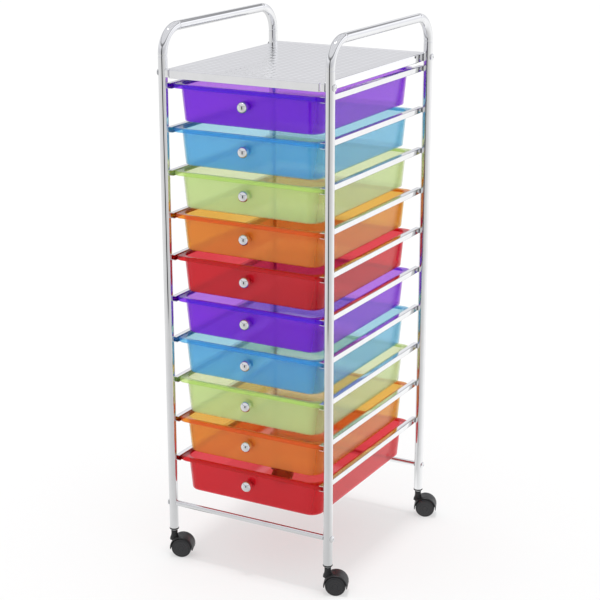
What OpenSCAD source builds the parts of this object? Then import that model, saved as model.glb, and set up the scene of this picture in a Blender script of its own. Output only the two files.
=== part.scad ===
// Rolling drawer cart: two bent tube side frames, ten sliding trays, an embossed top shelf and four twin wheel casters.
// Millimetres, +Z up, -Y is the front. The origin is on the floor, in the middle of the four casters' axles.

/* [Overall] */
// width across the outsides of the side tubes
overall_width = 330; // [290:1:420]
// depth across the front and rear legs
frame_depth = 386; // [340:1:480]
// from the leg ends up to the middle of the lowest rail
lower_leg = 138.5; // [120:0.5:260]
// floor to the open ends of the legs
caster_height = 53; // [53:1:58]

/* [Side tubes] */
// outside diameter of the side tubes
tube_d = 16; // [14:0.5:19]
// wall of the side tubes
tube_wall = 1.2; // [0.8:0.1:1.6]
// centreline radius of the handle bends
handle_bend_r = 45; // [35:1:60]

/* [Top shelf] */
// from the top of the handles down to the shelf
shelf_drop = 73.5; // [60:0.5:120]
// height of the shelf's turned down edge
shelf_edge_h = 15; // [13:0.5:22]
// sheet of the shelf
shelf_sheet = 1; // [0.8:0.1:1.5]
// outside radius of the shelf's folded top edge
shelf_fold_r = 2.4; // [1.8:0.1:4]
// width of the hem under the front and rear edges
shelf_hem = 8; // [5:0.5:14]
// how far the shelf's front and rear edges stand beyond the middle of the legs
shelf_reach = 6; // [5.8:0.1:7.5]
// width of the tab at each end of the front and rear edges
shelf_tab = 7.6; // [6:0.2:12]
// slit beside each tab
shelf_slit = 0.9; // [0.6:0.1:1.5]
// how much shorter the tabs are than the edge
shelf_tab_rise = 1.2; // [0:0.1:2]

/* [Rails] */
// from the shelf's top down to the middle of the first rail
first_rail_drop = 28; // [26:0.5:40]
// height of one rail channel
rail_h = 10; // [9:0.5:14]
// depth of the channel, from its web to its open side
rail_depth = 9; // [7:0.5:12]
// sheet of the rails
rail_sheet = 1; // [0.8:0.1:1.5]
// how far the rails run past the middle of the legs
rail_overhang = 2; // [0:0.5:6]
// how deep a rail or the shelf beds against the round leg
weld_seat = 0.5; // [0.3:0.05:0.7]

/* [Cross rods] */
// diameter of the front and rear cross rods
rod_d = 10; // [9:0.5:14]
// from the leg ends up to the middle of the cross rods
rod_height = 49; // [40:1:80]

/* [Bolts] */
// shank of the frame bolts
bolt_d = 5; // [4:0.5:6]
// round head of the frame bolts
bolt_head_d = 12; // [9:0.5:14]
// height of the bolt head over the tube
bolt_head_h = 2.6; // [2:0.1:4]
// width over the flats of the shelf nuts
nut_flats = 8.6; // [7:0.2:10]
// length of the closed shelf nuts
nut_length = 8.4; // [6:0.2:9]
// how far the bolts go into the ends of the cross rods
rod_bolt_grip = 14; // [8:1:24]

/* [Drawers] */
// pitch of the drawers
drawer_pitch = 74; // [70:0.5:76]
// height of one tray
tray_height = 64; // [50:1:66]
// wall and floor of the trays
tray_wall = 2; // [1.4:0.1:2.6]
// how much a wall leans over the tray's height
tray_draft = 6; // [2:0.5:8]
// plan radius of the tray's corners at the top
tray_corner_r = 28; // [18:1:40]
// radius between the walls and the floor
tray_floor_r = 3; // [2.8:0.2:8]
// width of the flange beside the tray
flange_reach = 11; // [10:0.5:20]
// flange in front of and behind the tray
flange_end_reach = 5; // [4:0.5:10]
// thickness of the flange
flange_t = 2; // [1.4:0.1:2.6]
// thickness of the flange's turned down lip
lip_t = 1.8; // [1.2:0.1:2.4]
// plan radius of the flange's corners
flange_corner_r = 22; // [12:1:34]
// how far the flange stands in front of the middle of the front legs
flange_proud = 2; // [0:0.5:6]
// space behind the flange, to the middle of the rear legs
flange_rear_gap = 14; // [10:0.5:30]
// from the tray's top down to its knob
knob_drop = 27; // [18:0.5:40]

/* [Knobs] */
// diameter of the knob's ball
knob_d = 20; // [15:0.5:22]
// length of the knob in front of the tray
knob_length = 19; // [16:0.5:19]
// diameter of the knob's foot
knob_foot_d = 9; // [8.5:0.5:13]
// shank of the knob's screw
screw_d = 4; // [3:0.5:5]
// head of the knob's screw
screw_head_d = 8; // [7:0.5:10]
// height of that head
screw_head_h = 2.4; // [1.6:0.1:3]
// how far the screw goes into the knob
screw_grip = 10; // [6:0.5:12]
// diameter of the flat boss that carries the knob
boss_d = 15; // [13:0.5:18]
// thickness of the boss through the wall
boss_t = 5.4; // [5.3:0.1:6]

/* [Casters] */
// diameter of the wheels
wheel_d = 36; // [34:0.5:37]
// width of one wheel
wheel_width = 12; // [10:0.5:14]
// distance from the stem's middle to the axle's middle
caster_trail = 14.5; // [12:0.5:16]
// angle that the casters point to at rest
caster_turn = 21; // [0:1:359]
// web between the two wheels
hood_web = 5; // [4:0.5:7]
// wall of the hood
hood_wall = 1.8; // [1.4:0.1:2.4]
// diameter of the hood's neck
neck_d = 11.5; // [10.5:0.5:13]
// diameter of the axle
axle_d = 5; // [4:0.5:6]
// length of the axle in each wheel
axle_grip = 8.5; // [6:0.5:9.5]
// stem in the leg
stem_d = 8; // [7:0.5:9]
// length of the stem in the leg
stem_length = 30; // [20:1:36]
// pin under the collar that the hood turns on
pin_d = 6; // [5:0.5:7]
// length of that pin
pin_length = 11; // [8:0.5:11.5]
// diameter of the stem's collar
collar_d = 10.5; // [10:0.5:13]
// height of the collar
collar_h = 2.6; // [1:0.1:3]
// diameter of the socket's rim under the leg
socket_rim_d = 17; // [16.5:0.5:21]
// height of that rim
socket_rim_h = 2.4; // [2:0.2:4]
// length of the socket in the leg
socket_length = 34; // [24:1:44]

/* [Fits] */
// side play of a flange in its rails, on each side
slide_side_gap = 0.6; // [0.4:0.1:1]
// play of a flange above and below, in its rails
slide_lift_gap = 0.35; // [0.3:0.05:0.5]
// gap from a closed drawer to its stop
stop_gap = 0.5; // [0.3:0.1:1]
// radial play of pins that turn
running_gap = 0.05; // [0.02:0.01:0.1]
// radial play of pressed or screwed pieces
press_gap = 0.02; // [0.01:0.01:0.05]
// gap from the shelf nuts up to the shelf's folded edge
nut_gap = 0.3; // [0.2:0.1:1]
// radial play of a bolt in a drilled leg
bolt_gap = 0.1; // [0.05:0.05:0.3]
// end play beside wheels and under the collar
end_gap = 0.3; // [0.3:0.05:0.5]
// space between the wheels' treads and the hood
tread_gap = 1.2; // [0.8:0.1:2]

/* [Hidden] */
$fn = 64;
drawer_count = 10;
eps = 0.01;
cut = 1;

// legs
tube_r = tube_d / 2;
leg_x = overall_width / 2 - tube_r;
leg_y = frame_depth / 2 - tube_r;
leg_inner = leg_x - tube_r;

// shelf
shelf_z = caster_height + lower_leg + (drawer_count - 1) * drawer_pitch + first_rail_drop;
shelf_half_w = leg_inner + weld_seat;
shelf_half_d = leg_y + shelf_reach;
shelf_slit_x = shelf_half_w - shelf_tab - shelf_slit / 2;
shelf_bolt_z = shelf_z - shelf_fold_r - nut_flats / 2 - nut_gap;
overall_height = shelf_z + shelf_drop;
handle_z = overall_height - tube_r;

// rails and the flange that slides in them
rail_outer = leg_inner + weld_seat;
rail_web = rail_outer - rail_sheet;
rail_open = rail_outer - rail_depth;
rail_end = leg_y + rail_overhang;
rail_inner_h = rail_h - 2 * rail_sheet;
function rail_z(i) = shelf_z - first_rail_drop - i * drawer_pitch;
function tray_z(i) = rail_z(i) + rail_inner_h / 2 - slide_lift_gap;
flange_half_w = rail_web - slide_side_gap;
flange_front = -leg_y - flange_proud;
flange_rear = leg_y - flange_rear_gap;
lip_h = rail_inner_h - 2 * slide_lift_gap;
tray_half_w = flange_half_w - flange_reach;
tray_front = flange_front + flange_end_reach;
tray_rear = flange_rear - flange_end_reach;
knob_y = tray_front;

// rods and bolts
rod_z = caster_height + rod_height;
rod_hole_d = bolt_d + 2 * press_gap;
leg_hole_d = bolt_d + 2 * bolt_gap;

// casters
wheel_r = wheel_d / 2;
pocket_r = wheel_r + tread_gap;
hood_r = pocket_r + hood_wall;
wheel_in = hood_web / 2 + end_gap;
hood_half_w = wheel_in + wheel_width + end_gap;
collar_top = caster_height - socket_rim_h;
collar_low = collar_top - collar_h;
neck_top = collar_low - end_gap;
axle_reach = wheel_in + axle_grip;
wheel_bore_reach = axle_grip + end_gap;
LEGS = [[-1, -1], [1, -1], [-1, 1], [1, 1]];
// all four casters trail the same way, so the middle of their axles is this far from the middle of the legs
axle_middle = caster_trail * [cos(caster_turn), sin(caster_turn)];

// Shared shapes

// a rectangle with round corners, lying on the plan between two Y values
module plan_rect(half_w, y0, y1, r) {
  translate([-half_w, y0 + r]) square([2 * half_w, y1 - y0 - 2 * r]);
  translate([-half_w + r, y0]) square([2 * (half_w - r), y1 - y0]);
  for (x = [-half_w + r, half_w - r]) {
    for (y = [y0 + r, y1 - r]) {
      translate([x, y]) circle(r);
    }
  }
}

// outline of a leaning wall from a corner's centre outwards: top reach t, bottom reach b, height h, floor radius f
module wall_outline(t, b, h, f) {
  slant = sqrt(h * h + (t - b) * (t - b));
  cx = b + f * (t - b - slant) / h;
  polygon([
    [0, 0],
    [cx, 0],
    [cx + f * h / slant, f - f * (t - b) / slant],
    [t, h],
    [0, h]
  ]);
  translate([cx, f]) intersection() {
    circle(f);
    translate([0, -f]) square([f, f]);
  }
}

// a solid block with leaning walls and round corners, standing on z = 0
module leaning_block(half_w, y0, y1, r, lean, h, f) {
  mid = (y0 + y1) / 2;
  half_d = (y1 - y0) / 2;
  translate([0, mid, 0]) {
    // middle, with both side walls
    rotate([90, 0, 0]) linear_extrude(2 * (half_d - r), center = true) {
      for (s = [0, 1]) {
        mirror([s, 0]) {
          square([half_w - r, h]);
          translate([half_w - r, 0]) wall_outline(r, r - lean, h, f);
        }
      }
    }
    // front and rear walls
    for (s = [0, 1]) {
      mirror([0, s, 0]) translate([0, half_d - r, 0])
        rotate([90, 0, 90]) linear_extrude(2 * (half_w - r), center = true)
          wall_outline(r, r - lean, h, f);
    }
    // four corners
    for (sx = [0, 1]) {
      for (sy = [0, 1]) {
        mirror([sx, 0, 0]) mirror([0, sy, 0])
          translate([half_w - r, half_d - r, 0])
            rotate_extrude(angle = 90) wall_outline(r, r - lean, h, f);
      }
    }
  }
}

// the outside of all four legs, to bed sheet metal against them
module leg_cylinders(z0, z1) {
  for (p = LEGS) {
    translate([p[0] * leg_x, p[1] * leg_y, z0]) cylinder(r = tube_r, h = z1 - z0);
  }
}

// Side frames

// one pipe outline swept up the front leg, over the handle and down the rear leg
module u_sweep(r) {
  straight = handle_z - handle_bend_r - caster_height;
  for (s = [-1, 1]) {
    translate([0, s * leg_y, caster_height]) cylinder(r = r, h = straight);
    translate([0, s * (leg_y - handle_bend_r), handle_z - handle_bend_r])
      rotate([90, 0, s * 90]) rotate_extrude(angle = 90) translate([handle_bend_r, 0]) circle(r);
  }
  translate([0, 0, handle_z]) rotate([90, 0, 0])
    cylinder(r = r, h = 2 * (leg_y - handle_bend_r), center = true);
}

// side is -1 for the left tube and 1 for the right one
module side_tube(side) {
  color("silver") translate([side * leg_x, 0, 0]) difference() {
    u_sweep(tube_r);
    u_sweep(tube_r - tube_wall);
    // open ends of the legs
    for (s = [-1, 1]) {
      translate([0, s * leg_y, caster_height - cut]) cylinder(r = tube_r - tube_wall, h = 2 * cut);
      // through holes for the rod bolts and the shelf bolts
      for (z = [rod_z, shelf_bolt_z]) {
        translate([0, s * leg_y, z]) rotate([0, 90, 0])
          cylinder(d = leg_hole_d, h = tube_d + 2 * cut, center = true);
      }
    }
  }
}

// one C channel, open towards the drawer, with the stop tab across its rear end
module rail(side, z) {
  mirror([side < 0 ? 1 : 0, 0, 0]) {
    difference() {
      translate([rail_open, -rail_end, z - rail_h / 2]) cube([rail_depth, 2 * rail_end, rail_h]);
      translate([rail_open - cut, -rail_end - cut, z - rail_inner_h / 2])
        cube([rail_depth - rail_sheet + cut, 2 * rail_end + 2 * cut, rail_inner_h]);
      leg_cylinders(z - rail_h, z + rail_h);
    }
    translate([rail_open, flange_rear + stop_gap, z - rail_inner_h / 2])
      cube([rail_depth - rail_sheet, rail_sheet, rail_inner_h]);
  }
}

module rails(side) {
  color("gainsboro") for (i = [0 : drawer_count - 1]) {
    rail(side, rail_z(i));
  }
}

// Top shelf

// section across the shelf: flat bottomed, with both top corners folded
module shelf_section(half_w, top, r) {
  translate([-half_w, -shelf_edge_h]) square([2 * half_w, shelf_edge_h + top - r]);
  translate([-half_w + r, -shelf_edge_h]) square([2 * (half_w - r), shelf_edge_h + top]);
  for (x = [-half_w + r, half_w - r]) {
    translate([x, top - r]) circle(r);
  }
}

// the section carried both ways, so the folded edges meet in mitres
module shelf_block(half_w, half_d, top, r) {
  intersection() {
    rotate([90, 0, 0]) linear_extrude(2 * half_d, center = true) shelf_section(half_w, top, r);
    rotate([90, 0, 90]) linear_extrude(2 * half_w, center = true) shelf_section(half_d, top, r);
  }
}

module top_shelf() {
  inner_r = shelf_fold_r - shelf_sheet;
  color("lightgray") difference() {
    union() {
      translate([0, 0, shelf_z]) difference() {
        shelf_block(shelf_half_w, shelf_half_d, 0, shelf_fold_r);
        translate([0, 0, -eps])
          intersection() {
            shelf_block(shelf_half_w - shelf_sheet, shelf_half_d - shelf_sheet, -shelf_sheet, inner_r);
            translate([0, 0, -shelf_edge_h]) cube([2 * overall_width, 2 * frame_depth, 2 * shelf_edge_h], center = true);
          }
      }
      // hems under the front and rear edges
      for (s = [-1, 1]) {
        translate([-shelf_slit_x, s * (shelf_half_d - shelf_hem / 2) - shelf_hem / 2, shelf_z - shelf_edge_h])
          cube([2 * shelf_slit_x, shelf_hem, shelf_sheet]);
      }
    }
    // a slit through the folded edge beside each tab, and the tab's shorter end
    for (p = LEGS) {
      translate([p[0] * shelf_slit_x, p[1] * shelf_half_d, shelf_z - shelf_edge_h / 2])
        cube([shelf_slit, 2 * (shelf_fold_r + shelf_sheet), shelf_edge_h + 2 * cut], center = true);
      translate([p[0] * (shelf_slit_x + shelf_tab), p[1] * shelf_half_d, shelf_z - shelf_edge_h])
        cube([2 * shelf_tab, 2 * (shelf_fold_r + shelf_sheet), 2 * shelf_tab_rise], center = true);
      translate([p[0] * leg_inner, p[1] * leg_y, shelf_bolt_z])
        rotate([0, 90, 0]) cylinder(d = leg_hole_d, h = 4 * cut, center = true);
    }
    leg_cylinders(shelf_z - 2 * shelf_edge_h, shelf_z + cut);
  }
}

// Bolts, nuts and cross rods

// a round headed bolt on the outside of a leg, pointing inwards, bedded on the round tube
module frame_bolt(reach) {
  difference() {
    union() {
      translate([leg_x + tube_r - weld_seat, 0, 0]) rotate([0, 90, 0])
        cylinder(d = bolt_head_d, h = bolt_head_h * 0.45 + weld_seat);
      translate([leg_x + tube_r + bolt_head_h * 0.45, 0, 0]) rotate([0, 90, 0])
        cylinder(d1 = bolt_head_d, d2 = bolt_head_d * 0.62, h = bolt_head_h * 0.55);
    }
    translate([leg_x, 0, -bolt_head_d]) cylinder(r = tube_r, h = 2 * bolt_head_d);
    // hexagon socket
    translate([leg_x + tube_r + bolt_head_h * 0.35, 0, 0]) rotate([0, 90, 0])
      cylinder(d = bolt_head_d * 0.36, h = bolt_head_h, $fn = 6);
  }
  translate([leg_x - reach, 0, 0]) rotate([0, 90, 0])
    cylinder(d = bolt_d, h = reach + tube_r + bolt_head_h * 0.35);
}

module at_legs(z) {
  for (p = LEGS) {
    mirror([p[0] < 0 ? 1 : 0, 0, 0]) translate([0, p[1] * leg_y, z]) children();
  }
}

module shelf_bolts() {
  color("silver") at_legs(shelf_bolt_z) frame_bolt(tube_r + nut_length * 0.7);
}

module rod_bolts() {
  color("silver") at_legs(rod_z) frame_bolt(tube_r + rod_bolt_grip);
}

// closed nuts inside the shelf's edge
module shelf_nuts() {
  nut_face = shelf_half_w - shelf_sheet;
  color("gray") at_legs(shelf_bolt_z) difference() {
    union() {
      // flats to the top and bottom
      translate([nut_face - nut_length * 0.6, 0, 0]) rotate([0, 90, 0]) rotate([0, 0, 30])
        cylinder(d = nut_flats / cos(30), h = nut_length * 0.6, $fn = 6);
      translate([nut_face - nut_length, 0, 0]) rotate([0, 90, 0])
        cylinder(d1 = nut_flats * 0.6, d2 = nut_flats * 0.98, h = nut_length * 0.4);
    }
    translate([nut_face - nut_length * 0.8, 0, 0]) rotate([0, 90, 0])
      cylinder(d = bolt_d + 2 * press_gap, h = nut_length);
  }
}

// s is -1 for the front rod and 1 for the rear one
module cross_rod(s) {
  color("silver") difference() {
    translate([0, s * leg_y, rod_z]) rotate([0, 90, 0])
      cylinder(d = rod_d, h = 2 * leg_x, center = true);
    leg_cylinders(rod_z - rod_d, rod_z + rod_d);
    for (x = [-1, 1]) {
      translate([x * leg_x, s * leg_y, rod_z]) rotate([0, 90, 0])
        cylinder(d = rod_hole_d, h = 2 * (tube_r + rod_bolt_grip + cut), center = true);
    }
  }
}

// Drawers

module tray(i) {
  top = tray_z(i);
  inner_r = tray_corner_r - tray_wall;
  difference() {
    union() {
      translate([0, 0, top - tray_height])
        leaning_block(tray_half_w, tray_front, tray_rear, tray_corner_r, tray_draft, tray_height, tray_floor_r);
      // flat flange around the top
      translate([0, 0, top - flange_t]) linear_extrude(flange_t)
        plan_rect(flange_half_w, flange_front, flange_rear, flange_corner_r);
      // turned down lip, which runs in the rails
      translate([0, 0, top - lip_h]) linear_extrude(lip_h) difference() {
        plan_rect(flange_half_w, flange_front, flange_rear, flange_corner_r);
        plan_rect(flange_half_w - lip_t, flange_front + lip_t, flange_rear - lip_t, flange_corner_r - lip_t);
      }
      // flat boss for the knob
      translate([0, knob_y, top - knob_drop]) rotate([-90, 0, 0]) cylinder(d = boss_d, h = boss_t);
    }
    difference() {
      translate([0, 0, top - tray_height + tray_wall])
        leaning_block(tray_half_w - tray_wall, tray_front + tray_wall, tray_rear - tray_wall, inner_r,
          tray_draft, tray_height, tray_floor_r - tray_wall);
      translate([0, knob_y, top - knob_drop]) rotate([-90, 0, 0]) cylinder(d = boss_d, h = boss_t);
    }
    translate([0, knob_y - cut, top - knob_drop]) rotate([-90, 0, 0])
      cylinder(d = screw_d + 2 * bolt_gap, h = boss_t + 2 * cut);
  }
}

// a ball knob, its foot on the tray's boss and its axis along -Y
module knob(i) {
  ball_r = knob_d / 2;
  neck_r = knob_foot_d * 0.34;
  color("silver") translate([0, knob_y, tray_z(i) - knob_drop]) rotate([90, 0, 0]) difference() {
    rotate_extrude() {
      square([knob_foot_d / 2, 1.6]);
      square([neck_r, knob_length - ball_r]);
      polygon([
        [0, 1.6],
        [knob_foot_d / 2, 1.6],
        [neck_r, 3.4],
        [0, 3.4]
      ]);
      intersection() {
        translate([0, knob_length - ball_r]) circle(ball_r);
        translate([0, knob_length - 1.62 * ball_r]) square([ball_r, 1.62 * ball_r]);
      }
    }
    translate([0, 0, -cut]) cylinder(d = screw_d + 2 * press_gap, h = screw_grip + 1.5 * cut);
  }
}

// pan head screw from inside the tray into the knob
module knob_screw(i) {
  color("silver") translate([0, knob_y, tray_z(i) - knob_drop]) rotate([90, 0, 0]) {
    translate([0, 0, -boss_t]) cylinder(d = screw_d, h = boss_t + screw_grip);
    difference() {
      translate([0, 0, -boss_t - screw_head_h]) {
        cylinder(d1 = screw_head_d * 0.7, d2 = screw_head_d, h = screw_head_h * 0.5);
        translate([0, 0, screw_head_h * 0.5]) cylinder(d = screw_head_d, h = screw_head_h * 0.5);
      }
      for (a = [0, 90]) {
        rotate([0, 0, a]) translate([0, 0, -boss_t - screw_head_h])
          cube([screw_head_d * 0.5, screw_head_d * 0.13, screw_head_h], center = true);
      }
    }
  }
}

// Casters

// plastic plugs in the open ends of the legs, bored for the stems
module leg_sockets() {
  plug_r = tube_r - tube_wall - press_gap;
  color("black") for (p = LEGS) {
    translate([p[0] * leg_x, p[1] * leg_y, 0]) difference() {
      union() {
        translate([0, 0, caster_height - socket_rim_h]) cylinder(d = socket_rim_d, h = socket_rim_h);
        translate([0, 0, caster_height]) cylinder(r = plug_r, h = socket_length);
      }
      translate([0, 0, caster_height - socket_rim_h - cut])
        cylinder(d = stem_d + 2 * press_gap, h = socket_rim_h + socket_length + 2 * cut);
    }
  }
}

// steel stems: round top, collar under the socket, and the pin that the hood turns on
module caster_stems() {
  color("silver") for (p = LEGS) {
    translate([p[0] * leg_x, p[1] * leg_y, 0]) {
      translate([0, 0, collar_low]) cylinder(d = collar_d, h = collar_h);
      translate([0, 0, collar_top]) cylinder(d = stem_d, h = stem_length - stem_d * 0.25);
      translate([0, 0, collar_top + stem_length - stem_d * 0.25])
        cylinder(d1 = stem_d, d2 = stem_d * 0.6, h = stem_d * 0.25);
      translate([0, 0, neck_top - pin_length]) cylinder(d = pin_d, h = pin_length + end_gap);
    }
  }
}

// moves a caster's piece under its leg and turns it to its rest angle; the axle then lies on local y
module caster_place(p) {
  translate([p[0] * leg_x, p[1] * leg_y, 0]) rotate([0, 0, caster_turn]) children();
}

// lays a cylinder's axis on the caster's axle, from local y = a to y = b
module on_axle(a, b) {
  translate([caster_trail, a, wheel_r]) rotate([-90, 0, 0]) linear_extrude(b - a) children();
}

// arch over the wheels: ring cut off just under the axle, so that both ends run out in points
module hood_arch() {
  tip = hood_r * 0.2;
  difference() {
    circle(hood_r);
    circle(pocket_r);
    polygon([
      [0, hood_r + cut],
      [hood_r + cut, hood_r + cut],
      [hood_r + cut, tip + hood_wall],
      [pocket_r - cut, tip * 0.3 - hood_wall * 0.4],
      [0, tip * 0.3 - hood_wall * 0.4],
      [-pocket_r + cut, tip * 0.3 - hood_wall * 0.4],
      [-hood_r - cut, tip + hood_wall],
      [-hood_r - cut, hood_r + cut]
    ]);
  }
}

// plate between the wheels, with the boss for the axle
module web_plate() {
  intersection() {
    circle(pocket_r + eps);
    translate([-hood_r, -hood_r]) square([2 * hood_r, hood_r + axle_d * 0.4]);
  }
  circle(axle_d * 1.5);
}

module hood(p) {
  color("dimgray") caster_place(p) difference() {
    union() {
      on_axle(-hood_half_w, hood_half_w) hood_arch();
      on_axle(-hood_web / 2, hood_web / 2) web_plate();
      difference() {
        translate([0, 0, wheel_r + pin_d * 0.4]) cylinder(d = neck_d, h = neck_top - wheel_r - pin_d * 0.4);
        on_axle(-hood_half_w, hood_half_w) circle(pocket_r);
      }
    }
    // bore that turns on the stem's pin
    translate([0, 0, neck_top - pin_length - end_gap])
      cylinder(d = pin_d + 2 * running_gap, h = pin_length + end_gap + cut);
    // bore for the axle
    on_axle(-hood_web, hood_web) circle(d = axle_d + 2 * press_gap);
  }
}

module axle(p) {
  color("silver") caster_place(p) on_axle(-axle_reach, axle_reach) circle(d = axle_d);
}

// side is -1 for the wheel at local -y and 1 for the other
module wheel(p, side) {
  hub_r = axle_d * 1.15;
  color([0.12, 0.12, 0.13]) caster_place(p) translate([caster_trail, 0, wheel_r]) rotate([-90 * side, 0, 0])
    translate([0, 0, wheel_in]) difference() {
      rotate_extrude() polygon([
        [0, 0],
        [hub_r, 0],
        [hub_r, wheel_width * 0.55],
        [wheel_r * 0.8, wheel_width * 0.55],
        [wheel_r * 0.8, 0.4],
        [wheel_r - 1, 0.4],
        [wheel_r, 1.4],
        [wheel_r, wheel_width - 1.8],
        [wheel_r - 1.2, wheel_width - 0.6],
        [wheel_r * 0.86, wheel_width - 0.4],
        [wheel_r * 0.84, wheel_width - 0.9],
        [wheel_r * 0.8, wheel_width - 0.9],
        [wheel_r * 0.78, wheel_width - 0.2],
        [wheel_r * 0.3, wheel_width],
        [0, wheel_width]
      ]);
      translate([0, 0, -cut]) cylinder(d = axle_d + 2 * running_gap, h = wheel_bore_reach + cut);
    }
}

// everything is modelled round the middle of the legs and then set on the origin
module placed() {
  translate([-axle_middle[0], -axle_middle[1], 0]) children();
}

module drawer_color(i) {
  tints = [
    [0.45, 0.17, 0.85],
    [0.35, 0.65, 0.92],
    [0.62, 0.85, 0.45],
    [0.93, 0.55, 0.22],
    [0.85, 0.15, 0.22]
  ];
  color(tints[i % 5]) children();
}

placed() side_tube(-1);  // left_side_tube
placed() side_tube(1);  // right_side_tube
placed() rails(-1);  // left_rails
placed() rails(1);  // right_rails
placed() top_shelf();
placed() shelf_bolts();
placed() shelf_nuts();
placed() cross_rod(-1);  // front_cross_rod
placed() cross_rod(1);  // rear_cross_rod
placed() rod_bolts();
placed() leg_sockets();
placed() caster_stems();
placed() drawer_color(0) tray(0);  // drawer_1
placed() drawer_color(1) tray(1);  // drawer_2
placed() drawer_color(2) tray(2);  // drawer_3
placed() drawer_color(3) tray(3);  // drawer_4
placed() drawer_color(4) tray(4);  // drawer_5
placed() drawer_color(5) tray(5);  // drawer_6
placed() drawer_color(6) tray(6);  // drawer_7
placed() drawer_color(7) tray(7);  // drawer_8
placed() drawer_color(8) tray(8);  // drawer_9
placed() drawer_color(9) tray(9);  // drawer_10
placed() knob(0);  // knob_1
placed() knob(1);  // knob_2
placed() knob(2);  // knob_3
placed() knob(3);  // knob_4
placed() knob(4);  // knob_5
placed() knob(5);  // knob_6
placed() knob(6);  // knob_7
placed() knob(7);  // knob_8
placed() knob(8);  // knob_9
placed() knob(9);  // knob_10
placed() knob_screw(0);  // knob_screw_1
placed() knob_screw(1);  // knob_screw_2
placed() knob_screw(2);  // knob_screw_3
placed() knob_screw(3);  // knob_screw_4
placed() knob_screw(4);  // knob_screw_5
placed() knob_screw(5);  // knob_screw_6
placed() knob_screw(6);  // knob_screw_7
placed() knob_screw(7);  // knob_screw_8
placed() knob_screw(8);  // knob_screw_9
placed() knob_screw(9);  // knob_screw_10
placed() hood(LEGS[0]);  // front_left_hood
placed() axle(LEGS[0]);  // front_left_axle
placed() wheel(LEGS[0], -1);  // front_left_wheel_front
placed() wheel(LEGS[0], 1);  // front_left_wheel_back
placed() hood(LEGS[1]);  // front_right_hood
placed() axle(LEGS[1]);  // front_right_axle
placed() wheel(LEGS[1], -1);  // front_right_wheel_front
placed() wheel(LEGS[1], 1);  // front_right_wheel_back
placed() hood(LEGS[2]);  // rear_left_hood
placed() axle(LEGS[2]);  // rear_left_axle
placed() wheel(LEGS[2], -1);  // rear_left_wheel_front
placed() wheel(LEGS[2], 1);  // rear_left_wheel_back
placed() hood(LEGS[3]);  // rear_right_hood
placed() axle(LEGS[3]);  // rear_right_axle
placed() wheel(LEGS[3], -1);  // rear_right_wheel_front
placed() wheel(LEGS[3], 1);  // rear_right_wheel_back
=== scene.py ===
"""Looks of the rolling drawer cart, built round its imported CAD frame.

The cart is two bent chromed tubes with ten pairs of channel rails, an embossed
shelf, two cross rods, four twin wheel casters and ten tinted trays with ball
knobs. Sizes are in millimetres round the middle of the four legs, z up and -y
to the front. Each finished mesh is scaled to metres and set on the frame's
origin, which is the middle of the casters' axles.
"""

import logging
import math
from dataclasses import dataclass
from enum import Enum
from typing import Callable, Optional, Sequence

import bpy
import numpy as np
from mathutils import Matrix


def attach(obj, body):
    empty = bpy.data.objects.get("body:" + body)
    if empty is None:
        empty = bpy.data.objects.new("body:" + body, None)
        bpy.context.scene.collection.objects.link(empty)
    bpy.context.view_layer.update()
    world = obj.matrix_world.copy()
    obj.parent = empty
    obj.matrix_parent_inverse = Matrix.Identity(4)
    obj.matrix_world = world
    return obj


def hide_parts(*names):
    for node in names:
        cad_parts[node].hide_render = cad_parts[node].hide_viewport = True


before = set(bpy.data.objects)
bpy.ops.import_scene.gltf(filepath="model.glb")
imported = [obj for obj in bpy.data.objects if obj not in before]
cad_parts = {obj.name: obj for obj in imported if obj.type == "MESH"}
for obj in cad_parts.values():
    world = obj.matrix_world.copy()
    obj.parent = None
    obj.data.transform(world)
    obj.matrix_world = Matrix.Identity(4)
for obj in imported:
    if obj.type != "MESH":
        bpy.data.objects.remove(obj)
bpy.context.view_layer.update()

LOG = logging.getLogger("drawer_cart")

Array = np.ndarray
Socket = bpy.types.NodeSocket
Color = tuple[float, float, float]
Rows = list[list[float]]

MM = 0.001
LEG_X = 157.0
LEG_Y = 185.0
TUBE_R = 8.0
LEG_END = 53.0
SHELF_TOP = 885.5
FIRST_RAIL = 857.5
DRAWER_PITCH = 74.0
DRAWERS = 10
ROD_Z = 102.0
SHELF_BOLT_Z = 878.5
CASTER_TRAIL = 14.5
CASTER_TURN = math.radians(21.0)
AXLE_MIDDLE = np.array([CASTER_TRAIL * math.cos(CASTER_TURN),
                        CASTER_TRAIL * math.sin(CASTER_TURN), 0.0])
LEGS = {"front_left": (-1, -1), "front_right": (1, -1),
        "rear_left": (-1, 1), "rear_right": (1, 1)}
SHARP_EDGE = math.radians(32.0)


class Tint(Enum):
    """The five tints of the trays, from the top one down, then again."""

    PURPLE = "purple_plastic"
    BLUE = "blue_plastic"
    GREEN = "green_plastic"
    ORANGE = "orange_plastic"
    RED = "red_plastic"


class Side(Enum):
    """Left and right of the cart, seen from the front."""

    LEFT = -1
    RIGHT = 1


# Surfaces


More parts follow.
